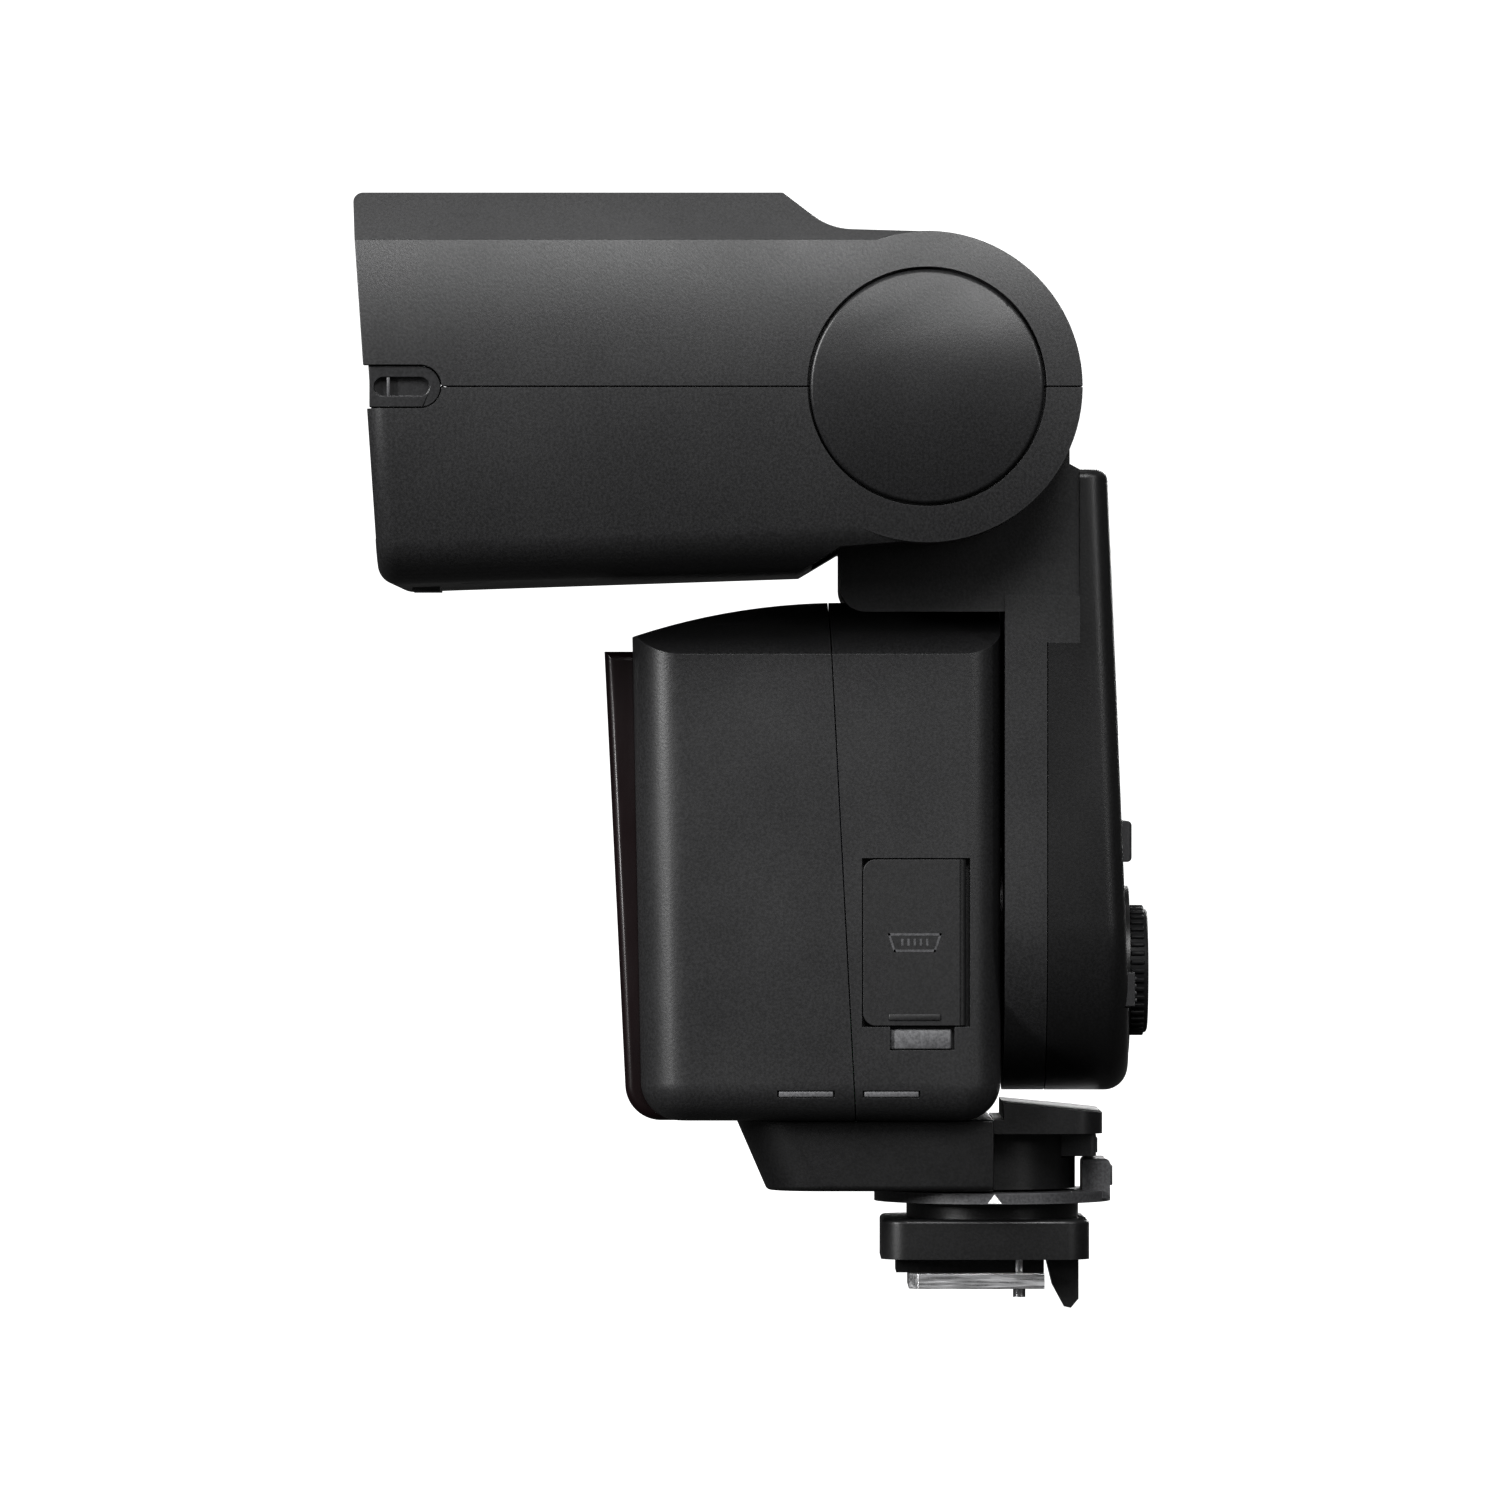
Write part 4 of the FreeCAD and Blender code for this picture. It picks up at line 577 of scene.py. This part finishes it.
def lathe(name, profile, centre, axis="Z", segments=96, finish=None):
    """A closed outline of (radius, height) points in millimetres, turned about an axis."""
    form = bmesh.new()
    rings = []
    for step in range(segments):
        angle = 2 * math.pi * step / segments
        ring = []
        for radius, height in profile:
            ring.append(form.verts.new((radius * MM * math.cos(angle), radius * MM * math.sin(angle), height * MM)))
        rings.append(ring)
    count = len(profile)
    for step in range(segments):
        here, there = rings[step], rings[(step + 1) % segments]
        for index in range(count):
            after = (index + 1) % count
            form.faces.new((here[index], there[index], there[after], here[after]))
    bmesh.ops.remove_doubles(form, verts=form.verts, dist=1e-7)
    bmesh.ops.dissolve_degenerate(form, edges=form.edges, dist=1e-8)
    turn = {"Z": Matrix(), "Y": Matrix.Rotation(math.radians(-90), 4, "X"),
            "X": Matrix.Rotation(math.radians(90), 4, "Y")}
    bmesh.ops.transform(form, matrix=Matrix.Translation(centre) @ turn[axis], verts=form.verts)
    for face in form.faces:
        face.smooth = True
    for edge in form.edges:
        edge.smooth = len(edge.link_faces) == 2 and edge.calc_face_angle(0.0) < math.radians(32)
    return mesh_object(name, form, finish)


def joined(name, pieces):
    """Several meshes as one, each keeping its own finish."""
    form = bmesh.new()
    finishes_used = []
    for piece in pieces:
        mesh = piece.data
        first = len(form.faces)
        form.from_mesh(mesh)
        form.faces.ensure_lookup_table()
        finish = mesh.materials[0]
        if finish not in finishes_used:
            finishes_used.append(finish)
        for face in form.faces[first:]:
            face.material_index = finishes_used.index(finish)
        bpy.data.objects.remove(piece)
    mesh = bpy.data.meshes.new(name)
    form.to_mesh(mesh)
    form.free()
    for finish in finishes_used:
        mesh.materials.append(finish)
    return link(bpy.data.objects.new(name, mesh))


def add_detail(obj, node):
    """Hands an extra piece to the frame: it moves with the node's body and the node stays shown."""
    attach(obj, body_of_node[node])
    return obj


print("shape helpers ready")

# %% [markdown]
# ## The control dial
# A thumb wheel round a push key. Its rim carries moulded ribs so that a gloved thumb can turn it, and
# its face is dished. The wheel is turned from one outline, then the ring tree stands the ribs round
# the rim. A bump map would not change the outline, and the outline is what shows from the side.

# %% Dial with its ribs
low, high = corners("control_dial")
dial_centre = Vector(((low.x + high.x) / 2, low.y, (low.z + high.z) / 2))
dial_thick = (high.y - low.y) / MM
dial_radius = (high.x - low.x) / 2 / MM
RIB = 0.32
wheel = lathe("dial_wheel", [(4.2, 0.0), (dial_radius - RIB, 0.0), (dial_radius - RIB, dial_thick - 0.5),
                             (dial_radius - RIB - 0.15, dial_thick - 0.15), (dial_radius - RIB - 0.5, dial_thick),
                             (dial_radius - 1.8, dial_thick), (dial_radius - 2.3, dial_thick - 0.28),
                             (5.0, dial_thick - 0.28), (4.7, dial_thick - 0.1), (4.35, dial_thick - 0.1),
                             (4.2, dial_thick - 0.25)],
              dial_centre, "Y", 128, finishes["dial"])
rib = soft_box("dial_rib", (RIB * 2, 0.62, dial_thick - 0.5), radius=0.16)
ribs = repeat("dial_ribs", "ring", rib, finishes["dial"], Count=44, Radius=(dial_radius - RIB) * MM,
              Centre=tuple(dial_centre + Vector((0, (dial_thick - 0.5) / 2 * MM, 0))),
              Tilt=(math.radians(-90), 0.0, 0.0))
dial_piece = joined("control_dial_piece", [wheel, ribs])
add_piece(dial_piece, "control_dial")
print("dial faces", len(dial_piece.data.polygons))

# %% [markdown]
# ## The lens in front of the lamp
# A sheet of acrylic with a smooth face outside and prisms inside, which bend the light from the long
# tube into a rectangle. The prisms run across the head, a bit under a millimetre apart. The row tree
# lays them along the sheet's own slope, so they follow the raked face.

# %% Ribbed lens and wide panel
low, high = corners("fresnel_lens")
LENS_THICK = 2.0 * MM
lens_height = high.z - low.z
lens_lean = (high.y - low.y - LENS_THICK) / lens_height
half_wide = (high.x - low.x) / 2


def slab(name, depth_start, depth_end, finish):
    """A sheet between two depths behind the raked front face of the lens."""
    form = bmesh.new()
    verts = []
    for z, front in ((low.z, high.y - LENS_THICK), (high.z, low.y)):
        for depth in (depth_start, depth_end):
            for x in (-half_wide, half_wide):
                verts.append(form.verts.new((x, front + depth, z)))
    for face in ((0, 1, 3, 2), (4, 5, 7, 6), (0, 1, 5, 4), (2, 3, 7, 6), (0, 2, 6, 4), (1, 3, 7, 5)):
        form.faces.new([verts[index] for index in face])
    return mesh_object(name, form, finish)


def prism(name, length, pitch, depth):
    """A three-sided bar along X, flat side at the front."""
    form = bmesh.new()
    ends = [[form.verts.new((x, y, z)) for y, z in ((0, -pitch / 2), (0, pitch / 2), (depth, 0))]
            for x in (-length / 2, length / 2)]
    form.faces.new(ends[0])
    form.faces.new(ends[1])
    for index in range(3):
        after = (index + 1) % 3
        form.faces.new((ends[0][index], ends[0][after], ends[1][after], ends[1][index]))
    return mesh_object(name, form)


PITCH = 0.8 * MM
sheet = slab("lens_sheet", 0.0, 1.35 * MM, finishes["lens"])
prism_count = int(lens_height / PITCH) - 1
middle_depth = high.y - LENS_THICK - lens_lean * lens_height / 2 + 1.36 * MM
prisms = repeat("lens_prisms", "row", prism("lens_prism", half_wide * 2 - 1 * MM, PITCH * 0.96, 0.5 * MM),
                finishes["lens"], Count=prism_count, Step=(0.0, -lens_lean * PITCH, PITCH),
                Centre=(0.0, middle_depth, (low.z + high.z) / 2))
add_piece(joined("fresnel_lens_piece", [sheet, prisms]), "fresnel_lens")
print("lens prisms", prism_count)

low, high = corners("wide_panel")
panel_sheet = soft_box("wide_panel_sheet", ((high.x - low.x) / MM, (high.y - low.y - 0.4 * MM) / MM, 0.6),
                       ((low.x + high.x) / 2, (low.y + high.y) / 2 + 0.2 * MM, low.z + 0.3 * MM), 0.12,
                       finishes["diffuser"])
grip = soft_box("wide_panel_grip", (14.0, 1.5, 1.0), (0, low.y + 0.75 * MM, low.z + 0.5 * MM), 0.2,
                finishes["diffuser"])
panel_rib = soft_box("panel_rib", ((high.x - low.x) / MM - 3, 0.7, 0.2), radius=0.09, segments=1)
panel_ribs = repeat("panel_ribs", "row", panel_rib, finishes["diffuser"], Count=26, Step=(0.0, 1.5 * MM, 0.0),
                    Centre=(0.0, (low.y + high.y) / 2, low.z + 0.68 * MM))
add_piece(joined("wide_panel_piece", [panel_sheet, grip, panel_ribs]), "wide_panel")

low, high = corners("bounce_card")
card_sheet = soft_box("card_sheet", ((high.x - low.x) / MM, (high.y - low.y - 0.4 * MM) / MM, 0.7),
                      (0, (low.y + high.y) / 2 + 0.2 * MM, low.z + 0.37 * MM), 0.15, finishes["card"])
card_grip = soft_box("card_grip", (10.0, 1.5, 1.1), (14 * MM, low.y + 0.75 * MM, low.z + 0.55 * MM), 0.25,
                     finishes["card"])
add_piece(joined("bounce_card_piece", [card_sheet, card_grip]), "bounce_card")

# %% [markdown]
# ## Screws and cells
# Four cross-head screws hold the lower half of the head. One screw is turned and its recess is cut
# with a boolean, because a cross is two slots and nothing more; the point tree copies it to where the
# mechanical screws sit. The four cells are made the same way: one outline with a rolled rim, a
# shoulder and the raised tip.

# %% Screws and cells by instancing
def solid_centres(node):
    """The middle of each separate solid in a node, and its size."""
    form = bmesh.new()
    form.from_mesh(nodes[node].data)
    bmesh.ops.remove_doubles(form, verts=form.verts, dist=1e-6)
    left = set(form.verts)
    found = []
    while left:
        stack = [left.pop()]
        part = []
        while stack:
            vert = stack.pop()
            part.append(vert.co.copy())
            for edge in vert.link_edges:
                other = edge.other_vert(vert)
                if other in left:
                    left.remove(other)
                    stack.append(other)
        lowest = Vector([min(point[axis] for point in part) for axis in range(3)])
        highest = Vector([max(point[axis] for point in part) for axis in range(3)])
        found.append((lowest, highest))
    form.free()
    return found


screw_boxes = solid_centres("head_screws")
tall = (screw_boxes[0][1].z - screw_boxes[0][0].z) / MM
screw = lathe("screw_head", [(0.0, 0.0), (1.25, 0.0), (1.6, 0.25), (1.68, 0.45), (1.68, tall), (0.0, tall)], (0, 0, 0),
              segments=40, finish=finishes["screw"])
for angle in (0.0, 90.0):
    slot_cutter = soft_box("recess", (1.9, 0.42, 1.1), radius=0.05)
    slot_cutter.data.transform(Matrix.Rotation(math.radians(angle), 4, "Z"))
    carve = screw.modifiers.new("cut", "BOOLEAN")
    carve.operation = "DIFFERENCE"
    carve.object = slot_cutter
    bake_modifiers(screw)
    bpy.data.objects.remove(slot_cutter)
screws = repeat("head_screw_pieces", "spots", screw, finishes["screw"],
                spots=[((a.x + b.x) / 2, (a.y + b.y) / 2, a.z) for a, b in screw_boxes])
add_piece(screws, "head_screws")

cell_boxes = solid_centres("battery_cells")
a, b = cell_boxes[0]
radius = (b.x - a.x) / 2 / MM
tall = (b.z - a.z) / MM
cell_profile = [(0.0, 0.0), (radius - 1.2, 0.0), (radius - 0.9, 0.3), (radius - 0.3, 0.3), (radius, 0.7),
                (radius, tall - 2.2),
                (radius - 0.35, tall - 1.7), (radius - 0.9, tall - 1.5), (2.75, tall - 1.25), (2.6, tall - 0.3),
                (2.3, tall), (0.0, tall)]
one_cell = lathe("one_cell", cell_profile, (0, 0, 0), segments=64, finish=finishes["cell"])
cells = repeat("battery_cell_pieces", "spots", one_cell, finishes["cell"],
               spots=[((p.x + q.x) / 2, (p.y + q.y) / 2, p.z) for p, q in cell_boxes])
add_piece(cells, "battery_cells")
print(len(screw_boxes), "screws,", len(cell_boxes), "cells")

# %% [markdown]
# ## Grips
# Anything pushed by a fingertip has ribs: the battery latch, the release button, the power switch and
# the tab of the lock lever. They are short bars, so the row tree lays each set across its piece, just
# proud of the face it grips.

# %% Grip ribs
def grip_ribs(node, size, count, step, centre, tilt=(0.0, 0.0, 0.0)):
    one_rib = soft_box(node + "_bar", size, radius=min(size) * 0.3)
    ribs = repeat(node + "_grip", "row", one_rib, finishes[slot_of[node]], Count=count,
                  Step=tuple(length * MM for length in step), Centre=tuple(centre), Tilt=tilt)
    return add_detail(ribs, node)


low, high = corners("door_latch")
grip_ribs("door_latch", (0.4, 3.2, 0.5), 7, (0, 0, 1.2), (low.x, (low.y + high.y) / 2, (low.z + high.z) / 2))
low, high = corners("release_button")
grip_ribs("release_button", (0.6, 0.4, 2.0), 8, (1.3, 0, 0), ((low.x + high.x) / 2, high.y, (low.z + high.z) / 2))
low, high = corners("power_switch")
grip_ribs("power_switch", (3.2, 0.5, 0.45), 4, (0, 0, 0.95), ((low.x + high.x) / 2, high.y, (low.z + high.z) / 2))
low, high = corners("lock_lever")
grip_ribs("lock_lever", (0.6, 0.4, 2.6), 8, (1.3, 0, 0), (0, high.y - 0.05 * MM, high.z - 2.2 * MM))
print("four sets of grip ribs")

# %% [markdown]
# ## Markings that name no maker
# Keys and the terminal cover carry little pictures on the real thing. Here they are generic: a dot, a
# lamp, two arrows, a plug. Each is a flat shape a few hundredths proud of its key, like ink from pad
# printing, so it needs no picture file and stays sharp at any size.

# %% Printed markings
ink = moulded("pale_ink", (0.42, 0.42, 0.42), rough=0.5, depth=0.000004, wear_and_highlight=0.0)


def printed(name, node, outlines, centre, across, up, out):
    """Flat shapes on a face: outlines in millimetres along across and up, proud by a few hundredths along out."""
    form = bmesh.new()
    for outline in outlines:
        base = []
        top = []
        for x, y in outline:
            place = Vector(centre) + (Vector(across) * x + Vector(up) * y) * MM
            base.append(form.verts.new(place - Vector(out) * 0.05 * MM))
            top.append(form.verts.new(place + Vector(out) * 0.03 * MM))
        form.faces.new(base)
        form.faces.new(top)
        for index in range(len(outline)):
            after = (index + 1) % len(outline)
            form.faces.new((base[index], base[after], top[after], top[index]))
    piece = mesh_object(name, form, ink)
    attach(piece, body_of_node[node])
    return piece


def disc(x, y, radius, count=24):
    return [(x + radius * math.cos(2 * math.pi * k / count), y + radius * math.sin(2 * math.pi * k / count))
            for k in range(count)]


def bar(x, y, wide, high_):
    return [(x - wide / 2, y - high_ / 2), (x + wide / 2, y - high_ / 2), (x + wide / 2, y + high_ / 2),
            (x - wide / 2, y + high_ / 2)]


ARROWS = [[(-1.1, 0.3), (1.1, 0.3), (0, 1.5)], [(-1.1, -0.3), (0, -1.5), (1.1, -0.3)]]
LAMP = [disc(0, 0, 0.75)] + [bar(0, 1.4, 0.25, 0.6), bar(0, -1.4, 0.25, 0.6), bar(1.4, 0, 0.6, 0.25),
                           bar(-1.4, 0, 0.6, 0.25)]
MARKS = {"function_key": [disc(0, 0, 0.9)], "light_key": LAMP, "mode_key": ARROWS,
         "test_key": [[(-0.7, 0.2), (0.35, 1.4), (0.0, 0.2)], [(0.7, -0.2), (-0.35, -1.4), (0.0, -0.2)],
                      bar(0, 0, 1.2, 0.3)]}
for node, outlines in MARKS.items():
    low, high = corners(node)
    centre = ((low.x + high.x) / 2, high.y, (low.z + high.z) / 2)
    printed(node + "_mark", node, outlines, centre, (-1, 0, 0), (0, 0, 1), (0, 1, 0))
print("marks on", len(MARKS), "keys")

# %% [markdown]
# ## Display, terminals and the small fittings
# Behind the smoked window is a plain liquid crystal panel. The
# terminal cover has a plug picture and a lip for a fingernail. A thin bar crosses the slot in each
# accessory recess, and two pale rubber strips fill the strap slots low on the block.

# %% Display segments and fittings
low, high = corners("display_window")
lean = (high.y - low.y - 1.7 * MM) / (high.z - low.z)
pane_out = Vector((0, 1, -lean)).normalized() if lean < 0 else Vector((0, 1, lean)).normalized()
wide, tall = (high.x - low.x) / MM - 1.0, (high.z - low.z) / MM - 1.0
segments = []
for row, count in ((tall * 0.30, 6), (tall * 0.02, 4), (-tall * 0.28, 9)):
    step = wide * 0.74 / count
    for index in range(count):
        segments.append(bar((index - (count - 1) / 2) * step, row, step * 0.62, 1.6 if count > 5 else 4.4))
low, high = corners("display_module")
lcd_place = ((low.x + high.x) / 2, high.y, (low.z + high.z) / 2)
screen = printed("display_segments", "display_module", segments, lcd_place, (-1, 0, 0), (0, 0, 1), (0, 1, 0))
screen.data.materials[0] = finishes["window"]

low, high = corners("terminal_cover")
face_middle = (high.x, (low.y + high.y) / 2, low.z + (high.z - low.z) * 0.50)
plug = [bar(0, 1.05, 7.0, 0.3), bar(0, -1.05, 5.4, 0.3), [(-3.5, 1.2), (-2.7, -1.2), (-2.4, -1.2), (-3.2, 1.2)],
        [(3.5, 1.2), (2.7, -1.2), (2.4, -1.2), (3.2, 1.2)]]
plug += [bar(-1.6 + 0.8 * index, 0.05, 0.3, 0.9) for index in range(5)]
mark = printed("terminal_mark", "terminal_cover", plug, face_middle, (0, 1, 0), (0, 0, 1), (1, 0, 0))
mark.data.materials[0] = finishes["lever"]
lip = soft_box("cover_lip", (0.5, 6.8, 1.0), (high.x - 0.1 * MM, (low.y + high.y) / 2, low.z + 1.1 * MM), 0.22,
               finishes["cover"])
add_detail(lip, "terminal_cover")

for node, side in (("accessory_socket_right", 1), ("accessory_socket_left", -1)):
    low, high = corners(node)
    outer = high.x if side > 0 else low.x
    rib_bar = soft_box(node + "_rib", (1.0, 0.4, 2.6), (outer - side * 0.62 * MM, -0.0757, (low.z + high.z) / 2), 0.1,
                       finishes["lever"])
    add_detail(rib_bar, node)

pale_rubber = moulded("pale_rubber", (0.050, 0.050, 0.052), rough=0.5, depth=0.00001, wear_and_highlight=0.2)
low, high = corners("block_rear_shell")
for side in (1, -1):
    for name, node, y in (("fore", "block_front_shell", -22.5), ("aft", "block_rear_shell", -11.5)):
        strip = soft_box(f"strap_strip_{name}_{side}", (0.6, 7.0, 0.75), (side * (high.x - 0.55 * MM), y * MM,
                         25.65 * MM), 0.12, pale_rubber)
        add_detail(strip, node)
notch_low, notch_high = corners("terminal_cover")
notch = soft_box("cover_notch", (0.8, 7.9, 2.6), (high.x - 0.85 * MM, (notch_low.y + notch_high.y) / 2 + 0.8 * MM,
                                                  notch_low.z - 1.75 * MM), 0.25, pale_rubber)
add_detail(notch, "block_rear_shell")

low, high = corners("lock_lever")
pointer = [[(-0.9, 0.0), (0.9, 0.0), (0.0, 1.5)]]
ring_edge = Vector((high.x, (low.y + low.y + 2 * (high.x)) / 2, low.z + 0.1 * MM))
printed("ring_pointer", "lock_lever", pointer, ring_edge, (0, 1, 0), (0, 0, 0.8), (1, 0, 0))
print("fittings ready")

# %% [markdown]
# ## The table, the lights and the camera
# The flash stands on a plain pale table, lit as a catalogue would light it: a long soft box overhead
# that draws the top bevels, upright strips that draw the rounded corners of the block and the panel,
# a fill in front, and a soft one for the far side. The room itself is dim, so that black plastic stays black, but the camera sees it
# white. A long lens from a metre and a half keeps the outline almost parallel.

# %% Studio
def area_light(name, place, target, power, size, size_y=None):
    light = bpy.data.lights.new(name, "AREA")
    light.energy = power
    light.shape = "RECTANGLE"
    light.size = size
    light.size_y = size_y or size
    obj = link(bpy.data.objects.new(name, light))
    obj.location = place
    obj.rotation_euler = (Vector(target) - Vector(place)).to_track_quat("-Z", "Y").to_euler()
    return obj


def camera_sees(tree, bright, other):
    """A value that is bright to the camera and different to every other ray."""
    path = node_of(tree, "ShaderNodeLightPath")
    return remap(tree, path.outputs["Is Camera Ray"], other, bright, 0.0, 1.0)


low, high = (Vector(corner) for corner in cad_box)
middle = (low + high) / 2
table = bpy.data.meshes.new("table_top")
table_form = bmesh.new()
bmesh.ops.create_circle(table_form, cap_ends=True, segments=96, radius=4.0)
table_form.to_mesh(table)
table_form.free()
floor = link(bpy.data.objects.new("table_top", table))
floor.location = (0, 0, low.z)
paper = bpy.data.materials.new("pale_paper")
paper.use_nodes = True
paper_tree = paper.node_tree
paper_shader = paper_tree.nodes["Principled BSDF"]
paper_shader.inputs["Roughness"].default_value = 0.9
paper_shader.inputs["Specular IOR Level"].default_value = 0.1
paper_tone = blend_colour(paper_tree, remap(paper_tree, noise(paper_tree, 400.0), 0.0, 1.0),
                          (0.030, 0.030, 0.030), (0.032, 0.032, 0.032))
paper_tree.links.new(paper_tone, paper_shader.inputs["Base Color"])
paper_shader.inputs["Emission Color"].default_value = (1, 1, 1, 1)
from_centre = node_of(paper_tree, "ShaderNodeVectorMath", operation="LENGTH")
paper_tree.links.new(node_of(paper_tree, "ShaderNodeTexCoord").outputs["Object"], from_centre.inputs[0])
# the camera-only glow is weaker near the flash, so the table is darker round it: painted shade, where the real contact
# shadow also falls
glow = remap(paper_tree, from_centre.outputs["Value"], 0.86, 1.0, 0.08, 0.45)
seen_glow = product(paper_tree, glow, camera_sees(paper_tree, 1.0, 0.0))
paper_tree.links.new(seen_glow, paper_shader.inputs["Emission Strength"])
table.materials.append(paper)

world = bpy.data.worlds.new("studio")
bpy.context.scene.world = world
world.use_nodes = True
world_tree = world.node_tree
background = world_tree.nodes["Background"]
background.inputs["Color"].default_value = (1, 1, 1, 1)
toward = node_of(world_tree, "ShaderNodeTexCoord")
split = node_of(world_tree, "ShaderNodeSeparateXYZ")
world_tree.links.new(toward.outputs["Generated"], split.inputs["Vector"])
dim_room = remap(world_tree, split.outputs["Z"], 0.05, 0.38, 0.0, 0.62)
seen = node_of(world_tree, "ShaderNodeMix", data_type="FLOAT")
seen.inputs["B"].default_value = 1.0
world_tree.links.new(node_of(world_tree, "ShaderNodeLightPath").outputs["Is Camera Ray"], seen.inputs["Factor"])
world_tree.links.new(dim_room, seen.inputs["A"])
world_tree.links.new(seen.outputs["Result"], background.inputs["Strength"])

area_light("overhead_box", (-0.15, -0.05, 0.95), middle, 1.0, 0.3, 0.6)
area_light("front_strip", (0.62, -0.80, 0.48), middle + Vector((0, 0, 0.10)), 27.0, 0.12, 0.7)
area_light("rear_strip", (0.85, 0.75, 0.50), middle, 6.0, 0.12, 0.7)
area_light("camera_fill", (1.00, 0.10, 0.78), middle, 14.0, 0.4, 0.4)
area_light("far_fill", (-1.10, 0.35, 0.40), middle, 9.0, 0.5, 0.5)

CAMERA_DISTANCE = 1.5
FRAME_WIDTH = 0.19575
camera_data = bpy.data.cameras.new("catalogue_camera")
camera_data.sensor_width = 36.0
camera_data.lens = 36.0 * CAMERA_DISTANCE / FRAME_WIDTH
camera_data.clip_end = 20.0
camera = link(bpy.data.objects.new("catalogue_camera", camera_data))
camera.location = (CAMERA_DISTANCE, -0.0297, 0.0699)
camera.rotation_euler = (math.radians(90), 0, math.radians(90))
bpy.context.scene.camera = camera
# a little more contrast than a straight print, as black plastic is usually printed
look = bpy.context.scene.view_settings
look.view_transform = "Standard"
look.exposure = 0.30
look.gamma = 0.84
print("camera lens", round(camera_data.lens, 1), "mm")
